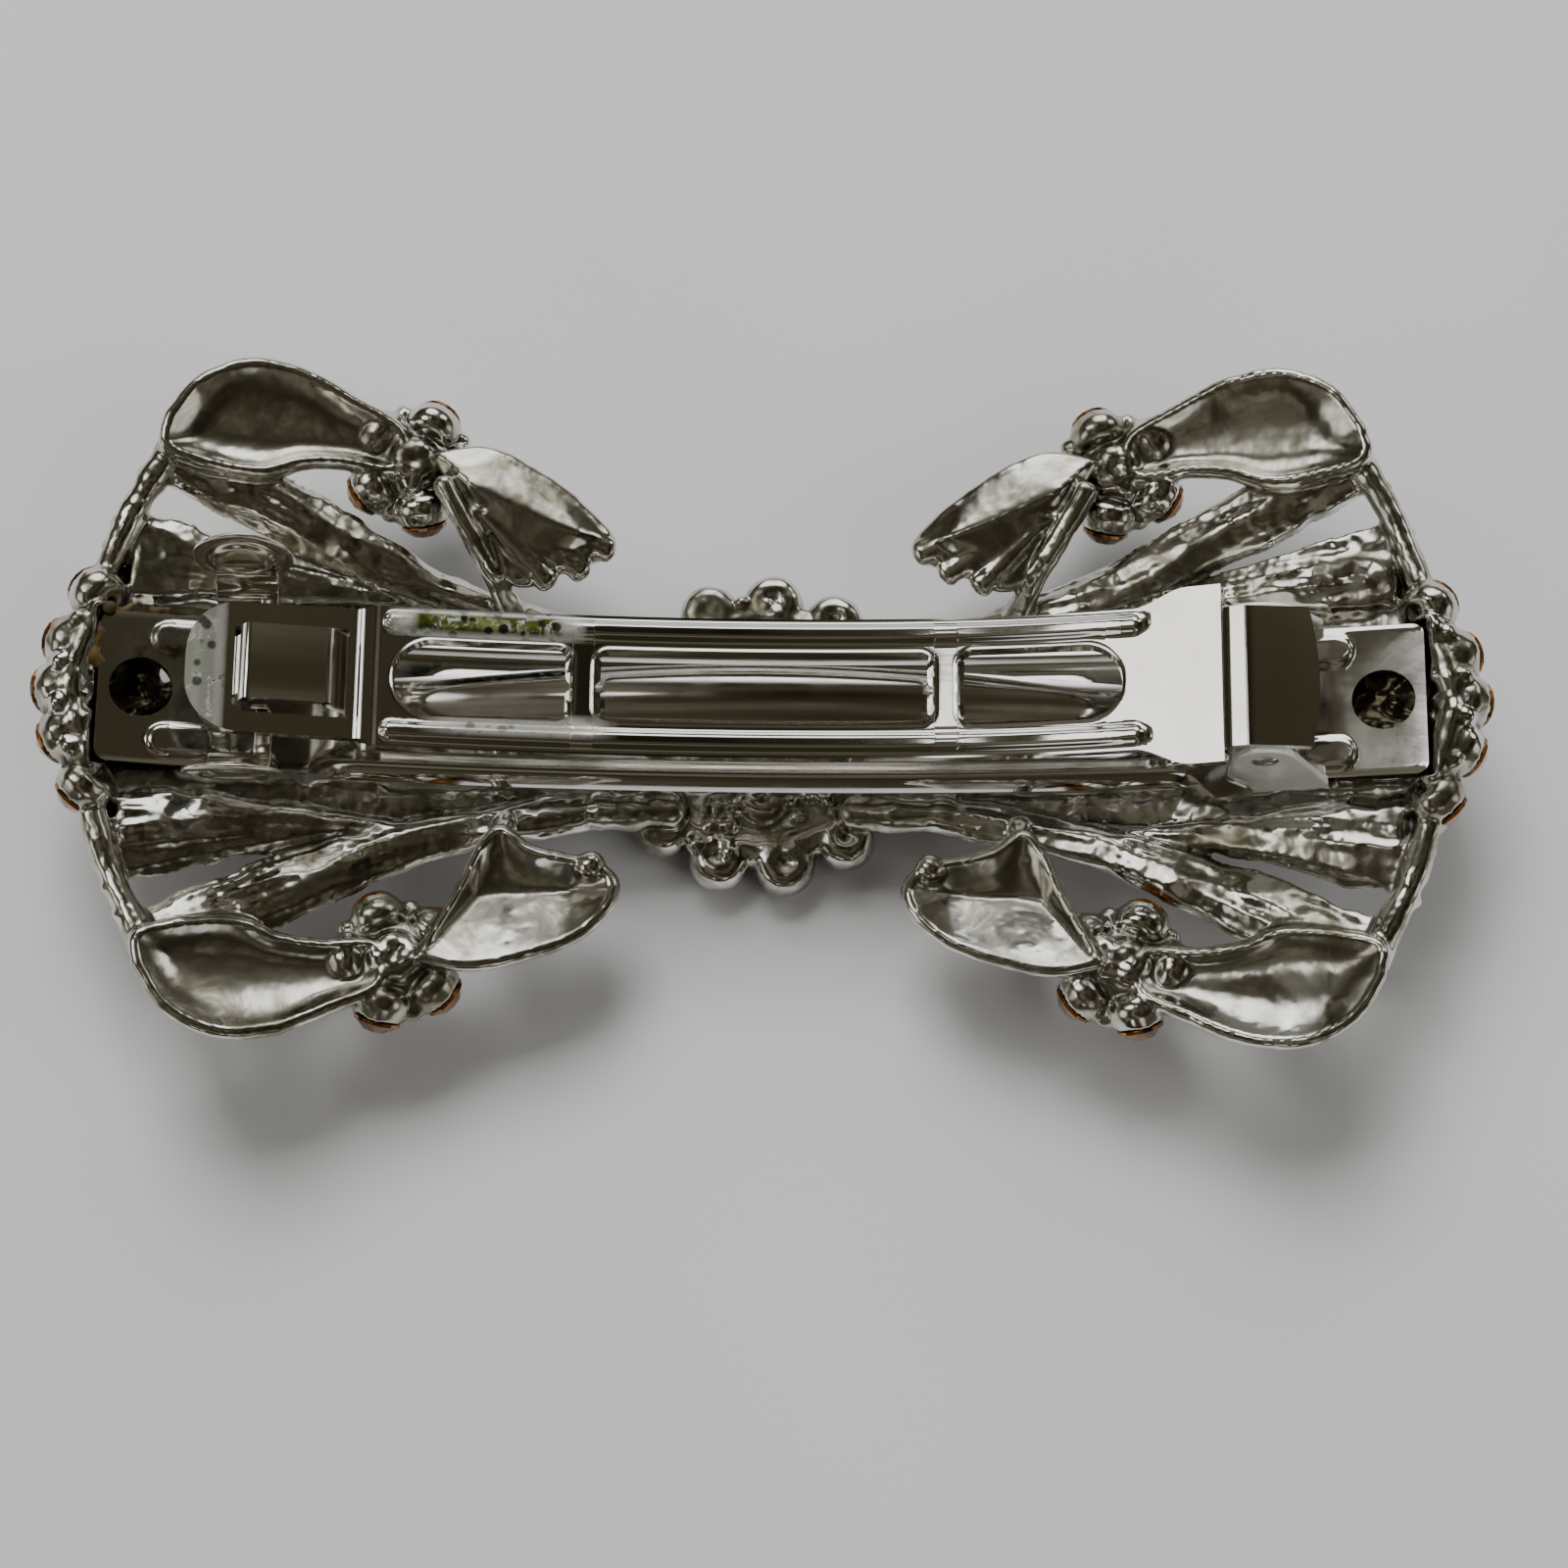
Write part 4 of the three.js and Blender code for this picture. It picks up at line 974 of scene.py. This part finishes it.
def stone_settings():
    """Each stone's table centre, the way it faces and its radius, in millimetres, from the CAD stones."""
    found = {}
    for name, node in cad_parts.items():
        if "stone" not in name:
            continue
        work = bmesh.new()
        work.from_mesh(node.data)
        bmesh.ops.remove_doubles(work, verts=work.verts, dist=0.02 * MM)
        on_axis = sorted(work.verts, key=lambda v: len(v.link_faces))[-2:]
        spread = [np.mean([e.calc_length() for e in v.link_edges]) for v in on_axis]
        table, apex = (on_axis[0], on_axis[1]) if spread[0] < spread[1] else (on_axis[1], on_axis[0])
        axis = (table.co - apex.co).normalized()
        radius = max((v.co - apex.co - axis * axis.dot(v.co - apex.co)).length for v in work.verts)
        found[name] = (np.array(table.co) / MM, np.array(axis), radius / MM)
        work.free()
    return found


def gem_mesh(radius):
    """A brilliant cut: table, two rings of crown facets, girdle and a pointed back."""
    crown, girdle, back = 0.55, 0.2, 0.85
    rings = [
        (0.55 * radius, 0.0, 8, 0.5),
        (0.80 * radius, -0.30, 8, 0.0),
        (radius, -crown, 16, 0.0),
        (radius, -crown - girdle, 16, 0.0),
        (0.45 * radius, -crown - girdle - back * 0.55, 8, 0.5),
    ]
    work = bmesh.new()
    for ring_radius, height, count, turn in rings:
        for k in range(count):
            angle = 2 * math.pi * (k + turn) / count
            place = (ring_radius * math.cos(angle), ring_radius * math.sin(angle), height)
            work.verts.new(Vector(place) * MM)
    work.verts.new(Vector((0, 0, -crown - girdle - back)) * MM)
    bmesh.ops.convex_hull(work, input=work.verts)
    bmesh.ops.dissolve_limit(work, angle_limit=math.radians(1), verts=work.verts, edges=work.edges)
    bmesh.ops.bevel(work, geom=list(work.edges), offset=0.012 * MM, segments=1, affect="EDGES", profile=0.5)
    mesh = bpy.data.meshes.new(f"gem_{radius:.2f}")
    work.to_mesh(mesh)
    work.free()
    return mesh


def build_stones(settings):
    for name, (place, axis, radius) in sorted(settings.items()):
        amber = "fan" in name or "petal" in name
        obj = bpy.data.objects.new(name + "_gem", gem_mesh(radius))
        bpy.context.scene.collection.objects.link(obj)
        turn = Vector((0, 0, 1)).rotation_difference(Vector(axis)).to_matrix().to_4x4()
        obj.matrix_world = Matrix.Translation(Vector(place) * MM) @ turn
        dress(obj, AMBER if amber else CLEAR, "bow", "amber_stone" if amber else "clear_stone", name)


# ---------------------------------------------------------------- cast bow

LONG_RIB = [
    (5.5, 5.0, 3.7), (10.5, 5.6, 4.2), (17, 7.0, 5.2),
    (22.5, 8.7, 6.5), (28.4, 11.6, 8.2), (36.8, 15.7, 10.5),
]
LONG_RIB_WIDE = [1.1, 1.1, 1.3, 1.6, 2.0, 2.2]
SHORT_RIB = [(22.0, 7.3, 6.0), (25.5, 7.5, 7.0), (31.3, 8.0, 8.6), (39.0, 8.8, 10.1)]
SHORT_RIB_WIDE = [0.45, 0.8, 1.7, 3.0]
UNDER_WEB = [(9.0, 4.2, 4.0), (18, 4.8, 4.9), (27, 5.2, 6.6), (34, 5.6, 8.4), (40.2, 6.0, 9.8)]
UNDER_WEB_WIDE = [0.7, 1.3, 1.9, 2.2, 2.4]
RIM = [
    (41.7, -0.6, 10.9), (41.2, 4, 10.9), (40.1, 7.6, 10.8),
    (38.7, 11.6, 10.8), (37.2, 14.4, 10.9), (36.2, 16.6, 10.7),
]
OUTER_LEAF = [
    (36.6, 17.2), (34.9, 19.6), (32.0, 21.0), (28.8, 20.7), (25.6, 19.2), (22.6, 17.4),
    (22.9, 15.2), (26.4, 15.3), (28.8, 15.0), (31.0, 14.2), (34.0, 14.4), (36.8, 15.4),
]
LEAF_WEB = [(29.9, 13.6, 8.9), (32.6, 14.1, 9.9), (36.6, 15.8, 10.4)]
LEAF_WEB_WIDE = [0.9, 1.6, 1.4]
FAR_WING = [
    (20.4, 15.9), (17.4, 16.3), (13.6, 14.5), (10.5, 12.0), (9.5, 10.6),
    (10.3, 9.9), (12.4, 9.1), (15.2, 8.1), (17.4, 10.7),
]
NEAR_WING = [
    (20.4, 15.9), (17.6, 16.4), (14.2, 15.7), (11.1, 14.4), (9.2, 12.5), (8.9, 11.0),
    (10.1, 9.8), (12.0, 9.5), (14.2, 8.9), (15.9, 7.7), (17.0, 8.9), (17.9, 11.2),
]
FLOWER_MIDDLE = (20.6, 15.6)
QUARTERS = ((-1, 1), (1, 1), (-1, -1), (1, -1))


def flipped(points, sx, sy):
    return [(sx * p[0], sy * p[1], *p[2:]) for p in points]


def leaf_plane(z, at, slope_x, slope_y):
    return lambda x, y: z + slope_x * (abs(x) - at[0]) + slope_y * (abs(y) - at[1])


def add_leaf(shell, outline, plane, spine, depth, thick, roll, flat):
    """A dished leaf: hollow towards +Z, its edge rolled over with the given radius.

    Its bottom is a plain valley when flat is 1, and wider and flatter above that. A negative depth domes it.
    """
    closed = [(*p, 0.0) for p in outline + outline[:1]]
    path, _, _ = smooth_path(closed, 121)
    edge = path[:-1, :2]
    along = np.roll(edge, -1, axis=0) - np.roll(edge, 1, axis=0)
    along /= np.linalg.norm(along, axis=1)[:, None]
    area = np.sum(edge[:, 0] * np.roll(edge[:, 1], -1) - np.roll(edge[:, 0], -1) * edge[:, 1])
    outward = np.column_stack([along[:, 1], -along[:, 0]]) * np.sign(area)
    crest = edge - outward * roll * 0.3
    a, b = (np.array(p, float) for p in spine)
    share = np.clip((crest - a) @ (b - a) / ((b - a) @ (b - a)), 0, 1)
    middle = a + share[:, None] * (b - a)
    layers = []
    for t in np.linspace(0, 1, 12):
        place = middle + (crest - middle) * t
        z = plane(place[:, 0], place[:, 1]) - depth * (1 - t**flat)
        layers.append(np.column_stack([place, z]))
    for angle in np.linspace(0.3, math.pi, 9):
        place = crest + outward * roll * math.sin(angle)
        z = plane(place[:, 0], place[:, 1]) - roll * (1 - math.cos(angle))
        layers.append(np.column_stack([place, z]))
    for t in np.linspace(0.9, 0, 10):
        place = middle + (crest - middle) * t
        belly = (thick + depth - 2 * roll) * (0.5 + 0.5 * math.cos(math.pi * t))
        z = plane(place[:, 0], place[:, 1]) - 2 * roll - belly
        layers.append(np.column_stack([place, z]))
    shell.add(np.concatenate(layers), ring_faces(len(layers), len(edge)))


def add_cup(shell, place, axis, radius, length):
    """A stone's cup: a rounded tube with a pocket in front and a dimple in its domed back."""
    lip = -0.80
    back = -0.62 - length
    wall = radius + 0.36
    profile = [
        (0, -1.85), (0.4 * radius, -1.5), (radius + 0.02, lip - 0.12), (radius + 0.08, lip),
        (radius + 0.16, lip - 0.03), (radius + 0.24, lip - 0.35), (wall, lip - 0.9), (wall, back + 1.1),
        (wall - 0.1, back + 0.6), (wall - 0.35, back + 0.2), (wall - 0.8, back),
        (0.42, back + 0.05), (0.2, back + 0.3), (0, back + 0.38),
    ]
    turned(shell, profile, place, axis, 28)


def bead_row(shell, points, count, radius, lift=0.0, outward=0.0):
    path, _, _ = smooth_path(points, count)
    for p in path:
        out = np.array([p[0], p[1], 0]) / max(1e-6, math.hypot(p[0], p[1]))
        jitter = np.array([random.uniform(-0.12, 0.12) for _ in range(3)])
        place = p + out * outward + [0, 0, lift] + jitter
        ball(shell, place, radius * random.uniform(0.8, 1.2), sides=10)


def build_quarter(shell, sx, sy):
    long_rib = flipped(LONG_RIB, sx, sy)
    limb(shell, long_rib, LONG_RIB_WIDE, [1.0, 0.95, 0.9, 0.9, 0.9, 0.8], 0.06, 26, 0.17)
    limb(shell, flipped(SHORT_RIB, sx, sy), SHORT_RIB_WIDE, [0.5, 0.65, 0.75, 0.8], 0.06, 30, 0.18)
    limb(shell, flipped(UNDER_WEB, sx, sy), UNDER_WEB_WIDE, [0.6, 0.5, 0.5, 0.5, 0.6], 0.05, 22, 0.12)
    rim = flipped(RIM, sx, sy)
    limb(shell, rim, [0.95, 0.85, 0.85, 0.85, 0.9, 1.1], [1.1, 1.0, 0.9, 0.85, 0.85, 0.85], 0.12, 20, 0.05)
    bead_row(shell, rim, 12, 0.46, -0.1, 0.55)
    bead_row(shell, long_rib[2:], 8, 0.34, -0.55, 0.0)
    outer_plane = leaf_plane(11.0, (30, 18), 0.24, 0.12)
    outer_spine = ((sx * 25.0, sy * 16.7), (sx * 33.4, sy * 16.9))
    add_leaf(shell, flipped(OUTER_LEAF, sx, sy), outer_plane, outer_spine, 1.0, 0.9, 0.6, 2.6)
    limb(shell, flipped(LEAF_WEB, sx, sy), LEAF_WEB_WIDE, [0.5, 0.6, 0.7], 0.05, 22, 0.12)
    inner_plane = leaf_plane(8.7, (15, 12), 0.05, 0.1)
    if sy > 0:
        build_far_wing(shell, sx, sy, inner_plane)
    else:
        build_near_wing(shell, sx, sy, inner_plane)


def build_far_wing(shell, sx, sy, plane):
    """A wing with a smooth shoulder, a thick ridge down to the rib, and streaks to a scalloped end."""
    spine = ((sx * 18.2, sy * 13.6), (sx * 11.6, sy * 10.9))
    add_leaf(shell, flipped(FAR_WING, sx, sy), plane, spine, -0.95, 2.1, 0.5, 1.25)
    ridge = [(20.2, 14.4, 9.6), (18.5, 11.4, 9.2), (16.9, 8.9, 8.0), (15.6, 6.4, 5.2)]
    limb(shell, flipped(ridge, sx, sy), [0.8, 0.75, 0.75, 0.9], [0.7, 0.7, 0.7, 0.8], 0.08, 18, 0.10)
    root = np.array([19.6, 14.2])
    lobes = (((9.2, 10.0), 0.95), ((10.9, 8.6), 1.0), ((13.0, 7.8), 0.95))
    ribs = (((10.6, 9.6), 0.3), ((12.4, 8.7), 0.3), ((10.0, 10.9), 0.35), ((14.6, 8.6), 0.35))
    for end, wide in lobes + ribs:
        streak = []
        for t in (0.3, 0.66, 1.0):
            x, y = root + (np.array(end) - root) * t
            streak.append((sx * x, sy * y, plane(x, y) + 0.75 * (1 - t**1.3) - 0.25))
        limb(shell, streak, [0.3, 0.6 * wide, wide], [0.4, 0.55, 0.6], 0.04, 20, 0.06)


def build_near_wing(shell, sx, sy, plane):
    """A deep smooth dish, narrowing to a neck that meets the rib, with a small bump beside its tip."""
    spine = ((sx * 17.2, sy * 11.6), (sx * 11.6, sy * 11.2))
    add_leaf(shell, flipped(NEAR_WING, sx, sy), plane, spine, 1.5, 0.8, 0.55, 1.15)
    neck = [(16.4, 9.6, 7.7), (16.0, 8.0, 6.9), (15.8, 6.3, 5.2)]
    limb(shell, flipped(neck, sx, sy), [0.9, 0.6, 0.7], [0.6, 0.62, 0.7], 0.1)
    ball(shell, (sx * 10.3, sy * 9.9, plane(10.3, 9.9) - 0.5), 0.95, 0.9, (0, 0, 1), 20)


def build_flower(shell, petals):
    """The flower's core: a lumpy boss behind the cups, with small prong beads between them."""
    backs = [place - axis * 3.0 for place, axis, _ in petals]
    centre = np.mean(backs, axis=0)
    axis = np.mean([a for _, a, _ in petals], axis=0)
    axis /= np.linalg.norm(axis)
    ball(shell, centre, 2.3, 0.3, axis, 20)
    ball(shell, centre + axis * 1.3, 1.3, 1.0, axis, 16)
    for k in range(5):
        angle = 2 * math.pi * k / 5 + random.uniform(-0.4, 0.4)
        reach = random.uniform(0.5, 1.6)
        lump = centre + np.array([reach * math.cos(angle), reach * math.sin(angle), 0.45])
        ball(shell, lump, random.uniform(0.6, 0.95), random.uniform(0.5, 0.8), (0, 0, 1), 18)
    for back in backs:
        stalk = [tuple(centre), tuple((centre + back) / 2 - axis * 0.3), tuple(back)]
        limb(shell, stalk, [1.2, 1.1, 1.0], [1.0, 0.9, 0.9], 0.08)
    for (place, _, _), (other, _, _) in zip(petals, petals[1:] + petals[:1]):
        between = (place + other) / 2 - axis * 0.9
        ball(shell, between, 0.6, 0.9, (0, 0, 1), 16)


def build_centre(shell):
    """The disc that carries the cluster's cups, hollowed behind, with rough metal run between them."""
    profile = [(0, 2.2), (8.3, 2.2), (8.6, 2.6), (8.4, 3.3), (7.4, 3.5), (6.6, 3.1), (0, 3.0)]
    turned(shell, profile, (0, 0, 0), (0, 0, 1), 64)
    for _ in range(70):
        angle = random.uniform(0, 2 * math.pi)
        reach = 8.6 * math.sqrt(random.random())
        ball(shell, (reach * math.cos(angle), reach * math.sin(angle), 3.2), random.uniform(0.3, 0.75), 0.8)
    for sx in (-1, 1):
        for sy in (-1, 1):
            root = flipped([(4.6, 5.2, 3.6), (8.5, 5.6, 4.2), (12.5, 5.6, 4.4)], sx, sy)
            limb(shell, root, [1.0, 1.2, 0.9], [0.9, 1.1, 0.8], 0.2)


def build_fan_backs(shell, settings):
    """Cast beads and webs behind each end's fan of cups."""
    for side, label in ((-1, "left"), (1, "right")):
        fan = [settings[f"{label}_fan_stone_{k}"] for k in range(1, 6)]
        points = [tuple(place - axis * 2.6 + np.array([-side * 0.1, 0, 0.5])) for place, axis, _ in fan]
        limb(shell, points, [0.9, 0.9], [0.95, 0.95], 0.15)
        for _ in range(26):
            y = random.uniform(-5.6, 5.6)
            x = side * (40.7 + random.uniform(-0.3, 0.9) - 0.05 * abs(y))
            ball(shell, (x, y, random.uniform(10.9, 12.0)), random.uniform(0.42, 0.8), 1.0)
        for point, following in zip(points, points[1:]):
            place = (np.array(point) + np.array(following)) / 2
            ball(shell, place + [side * 0.9, 0, 0.35], 0.72)
        web = [(side * 41.0, -5.4, 10.6), (side * 41.4, 0, 10.6), (side * 41.0, 5.4, 10.6)]
        limb(shell, web, [1.1, 1.2], [1.2, 1.2], 0.1)


def build_seats(shell):
    """Rough cast metal under the plate's ends, seen through its holes: close at +X, deep at -X."""
    # Each slab: its X range, its Y range and how far it lies below the plate.
    slabs = {
        1: [(34.6, 41.0, -4.6, 4.6, 1.2)],
        -1: [(36.9, 41.0, -4.6, 4.6, 2.4), (34.6, 36.9, -4.6, 1.0, 2.4), (34.6, 36.9, 2.6, 4.6, 2.4)],
    }
    for side, parts in slabs.items():
        for x0, x1, y0, y1, drop in parts:
            for y in np.arange(y0 + 0.4, y1, 0.8):
                z0, z1 = (float(plate_top(x)) - PLATE_THICK - drop for x in (x0, x1))
                row = [(side * x0, y, z0), (side * (x0 + x1) / 2, y, (z0 + z1) / 2), (side * x1, y, z1)]
                limb(shell, row, [0.7], [0.6], 0.2, 12)
                x = random.uniform(x0, x1)
                z = float(plate_top(x)) - PLATE_THICK - drop + 0.5
                ball(shell, (side * x, y, z), random.uniform(0.4, 0.8), 0.8)
        for _ in range(16):
            x = PLATE_HOLE_X + random.uniform(-2.0, 2.0)
            y = random.uniform(-2.0, 0.9 if side < 0 else 2.0)
            z = float(plate_top(x)) - PLATE_THICK - parts[0][4] + random.uniform(0.2, 0.6)
            ball(shell, (side * x, y, z), random.uniform(0.35, 0.6), 0.8)


def build_glue():
    """Yellowed glue left in lumps round the left end of the base plate."""
    shell = Shell()
    for _ in range(16):
        y = random.uniform(1.2, 4.9)
        x = -40.25 + random.uniform(-0.5, 0.3) + 0.35 * max(0.0, y - 3.2)
        flat = random.uniform(0.3, 0.6)
        ball(shell, (x, y, 12.15 + random.uniform(-0.4, 0.15)), random.uniform(0.25, 0.6), flat)
    for _ in range(12):
        x = random.uniform(-40.0, -35.5)
        place = (x, 5.0 + random.uniform(-0.25, 0.35), float(plate_top(x)) - 0.7)
        ball(shell, place, random.uniform(0.2, 0.42), 0.6)
    glue = make_mesh("left_end_glue", shell.all_points(), shell.faces)
    remeshed(glue, 0.12, 8)
    shade(glue)
    dress(glue, GLUE, "bow", "cast_plate")


def cleared_for_plate(points):
    """Presses down what would come up through the base plate, which lies on the casting."""
    x, y, z = points[:, 0], points[:, 1], points[:, 2]
    limit = plate_top(np.clip(x, -PLATE_LENGTH, PLATE_LENGTH)) - PLATE_THICK - 0.12
    inside = 1 - smoothstep(PLATE_LENGTH, PLATE_LENGTH + 0.3, np.abs(x))
    inside *= 1 - smoothstep(PLATE_WIDTH, PLATE_WIDTH + 0.3, np.abs(y))
    points[:, 2] = np.where((inside > 0) & (z > limit), limit * inside + z * (1 - inside), z)
    return points


def inside_outline(x, y, outline):
    """True for each point inside the closed outline."""
    within = np.zeros(len(x), bool)
    for (ax, ay), (bx, by) in zip(outline, outline[1:] + outline[:1]):
        crosses = (ay > y) != (by > y)
        reach = ax + (y - ay) * (bx - ax) / (by - ay if by != ay else 1e-9)
        within ^= crosses & (x < reach)
    return within


def roughness_weights(points):
    """How rough the casting is at each point: leaves and flowers are smooth, and all else is as cast."""
    x, y = np.abs(points[:, 0]), np.abs(points[:, 1])
    flower = np.hypot(x - FLOWER_MIDDLE[0], y - FLOWER_MIDDLE[1]) < 4.6
    wing = np.where(points[:, 1] > 0, inside_outline(x, y, FAR_WING), inside_outline(x, y, NEAR_WING))
    smooth = inside_outline(x, y, OUTER_LEAF) | wing
    return np.where(smooth | flower, 0.3, 1.0)


def displaced(obj, name, scale, strength):
    """Adds bumps of the given size and height where the object is rough."""
    texture = bpy.data.textures.new(name, "CLOUDS")
    texture.noise_scale = scale * MM
    texture.noise_depth = 2
    modifier = obj.modifiers.new(name, "DISPLACE")
    modifier.texture = texture
    modifier.texture_coords = "LOCAL"
    modifier.strength = strength * MM
    modifier.mid_level = 0.5
    modifier.vertex_group = "rough"


def vertex_places(obj):
    """All the mesh's points, in millimetres."""
    places = np.zeros(len(obj.data.vertices) * 3)
    obj.data.vertices.foreach_get("co", places)
    return places.reshape(-1, 3) / MM


def build_casting(settings):
    shell = Shell()
    for sx, sy in QUARTERS:
        build_quarter(shell, sx, sy)
    build_centre(shell)
    build_fan_backs(shell, settings)
    build_seats(shell)
    for side in ("upper_left", "upper_right", "lower_left", "lower_right"):
        build_flower(shell, [settings[f"{side}_petal_stone_{k}"] for k in range(1, 6)])
    for name, (place, axis, radius) in sorted(settings.items()):
        length = 2.9 if "ring" in name or "centre" in name else 2.2
        add_cup(shell, place, axis, radius, length)
    obj = make_mesh("cast_bow_surface", shell.all_points(), shell.faces)
    voxel = 0.16
    rounds = 6
    remeshed(obj, voxel, rounds)
    group = obj.vertex_groups.new(name="rough")
    weights = roughness_weights(vertex_places(obj))
    for weight in np.unique(weights):
        group.add(np.flatnonzero(weights == weight).tolist(), float(weight), "REPLACE")
    displaced(obj, "cast_swells", 1.6, 0.18)
    displaced(obj, "cast_ripples", 0.6, 0.035)
    bake_modifiers(obj)
    points = cleared_for_plate(vertex_places(obj)) * MM
    obj.data.vertices.foreach_set("co", points.ravel())
    obj.data.update()
    shade(obj)
    dress(obj, CAST, "bow", "cast_plate", "cast_bow")


# ---------------------------------------------------------------- setting


def build_floor():
    half_size = 1.2
    corners = np.array([(-1, -1, 0), (1, -1, 0), (1, 1, 0), (-1, 1, 0)]) * half_size / MM
    floor = make_mesh("floor", corners, [(0, 1, 2, 3)], False)
    floor.location.z = -0.00002
    floor.data.materials.append(floor_material())


def add_light(name, place, size, power):
    """A white panel that shines at the clip."""
    data = bpy.data.lights.new(name, "AREA")
    data.shape = "RECTANGLE"
    data.size, data.size_y = size
    data.energy = power
    lamp = bpy.data.objects.new(name, data)
    bpy.context.scene.collection.objects.link(lamp)
    lamp.location = place
    middle = Vector((0, 0, 0.008))
    lamp.rotation_euler = (middle - Vector(place)).to_track_quat("-Z", "Y").to_euler()
    return lamp


PANELS = (
    # direction, angle of full brightness and of none in degrees, brightness, tint
    ((-0.482, 0.227, 0.847), 10, 11.4, 2.1, (1.0, 1.0, 0.98)),
    ((-0.170, 0.255, 0.952), 1.6, 3.2, 2.1, (1.0, 1.0, 0.98)),
    ((-0.66, 0.22, 0.70), 4, 10, 2.0, (1.0, 1.0, 0.98)),
    ((0.0, 0.84, 0.54), 13, 25, 2.3, (0.98, 1.0, 1.0)),
    ((0.62, 0.55, 0.48), 3, 14, 1.6, (1.0, 0.99, 0.95)),
    ((-0.85, -0.25, 0.42), 5, 19, 1.1, (1.0, 0.98, 0.95)),
    ((0.30, -0.80, 0.48), 3, 12, 0.7, (0.97, 0.98, 1.0)),
    ((-0.25, -0.86, 0.40), 2, 8, 1.0, (0.97, 0.98, 1.0)),
    ((0.90, -0.15, 0.30), 4, 16, 0.8, (1.0, 0.98, 0.95)),
)

ROOM_DARK = (0.010, 0.0085, 0.005)
ROOM_BROWN = (0.053, 0.045, 0.027)
ROOM_PALE = (0.17, 0.160, 0.125)
BACKGROUND = (0.46, 0.465, 0.47)


def build_world():
    """A dim brownish room with soft bright panels: what the plated metal reflects."""
    world = bpy.data.worlds.new("studio")
    bpy.context.scene.world = world
    world.use_nodes = True
    tree = world.node_tree
    background = tree.nodes["Background"]
    way = tree.nodes.new("ShaderNodeTexCoord").outputs["Generated"]
    noise = tree.nodes.new("ShaderNodeTexNoise")
    noise.inputs["Scale"].default_value = 2.2
    noise.inputs["Detail"].default_value = 3
    tree.links.new(way, noise.inputs["Vector"])
    room = tree.nodes.new("ShaderNodeValToRGB")
    elements = room.color_ramp.elements
    elements.new(0.5)
    for element, (place, color) in zip(elements, ((0.36, ROOM_DARK), (0.52, ROOM_BROWN), (0.68, ROOM_PALE))):
        element.position = place
        element.color = (*color, 1)
    tree.links.new(noise.outputs["Fac"], room.inputs["Fac"])
    total = room.outputs["Color"]
    for direction, full, none, brightness, tint in PANELS:
        dot = tree.nodes.new("ShaderNodeVectorMath")
        dot.operation = "DOT_PRODUCT"
        dot.inputs[1].default_value = Vector(direction).normalized()
        tree.links.new(way, dot.inputs[0])
        fall = tree.nodes.new("ShaderNodeMapRange")
        fall.interpolation_type = "SMOOTHERSTEP"
        fall.inputs["From Min"].default_value = math.cos(math.radians(none))
        fall.inputs["From Max"].default_value = math.cos(math.radians(full))
        fall.inputs["To Max"].default_value = brightness
        tree.links.new(dot.outputs["Value"], fall.inputs["Value"])
        scaled = tree.nodes.new("ShaderNodeVectorMath")
        scaled.operation = "SCALE"
        scaled.inputs[0].default_value = tint
        tree.links.new(fall.outputs["Result"], scaled.inputs["Scale"])
        added = tree.nodes.new("ShaderNodeVectorMath")
        added.operation = "ADD"
        tree.links.new(total, added.inputs[0])
        tree.links.new(scaled.outputs["Vector"], added.inputs[1])
        total = added.outputs["Vector"]
    seen = tree.nodes.new("ShaderNodeMix")
    seen.data_type = "RGBA"
    tree.links.new(tree.nodes.new("ShaderNodeLightPath").outputs["Is Camera Ray"], seen.inputs["Factor"])
    tree.links.new(total, seen.inputs[6])
    seen.inputs[7].default_value = (*BACKGROUND, 1)
    tree.links.new(seen.outputs[2], background.inputs["Color"])


def build_lights():
    for name, place, size, power in (
        ("key", (-0.12, 0.40, 0.60), (0.35, 0.35), 6.0),
        ("fill", (0.45, -0.2, 0.55), (0.5, 0.5), 1.5),
    ):
        add_light(name, place, size, power).visible_glossy = False


def build_camera():
    camera = bpy.data.cameras.new("camera")
    camera.sensor_width = 36
    camera.lens = 79.7
    obj = bpy.data.objects.new("camera", camera)
    bpy.context.scene.collection.objects.link(obj)
    elevation = math.radians(75)
    distance = 0.220
    target = Vector((0.00137, -0.00257, 0))
    back = Vector((0, -math.cos(elevation), math.sin(elevation)))
    obj.location = target + back * distance
    turn = (-back).to_track_quat("-Z", "Y").to_matrix().to_4x4()
    obj.matrix_world = Matrix.Translation(obj.location) @ turn @ Matrix.Rotation(math.radians(0.58), 4, "Z")
    camera.clip_start = 0.01
    camera.clip_end = 10
    bpy.context.scene.camera = obj


settings = stone_settings()
build_casting(settings)
build_glue()
build_stones(settings)
build_base_plate()
build_ears()
build_bar_loops()
build_bar()
build_arm()
build_horns()
build_knuckles()
build_pin()
build_prong(1, "upper")
build_prong(-1, "lower")
build_floor()
build_world()
build_lights()
build_camera()
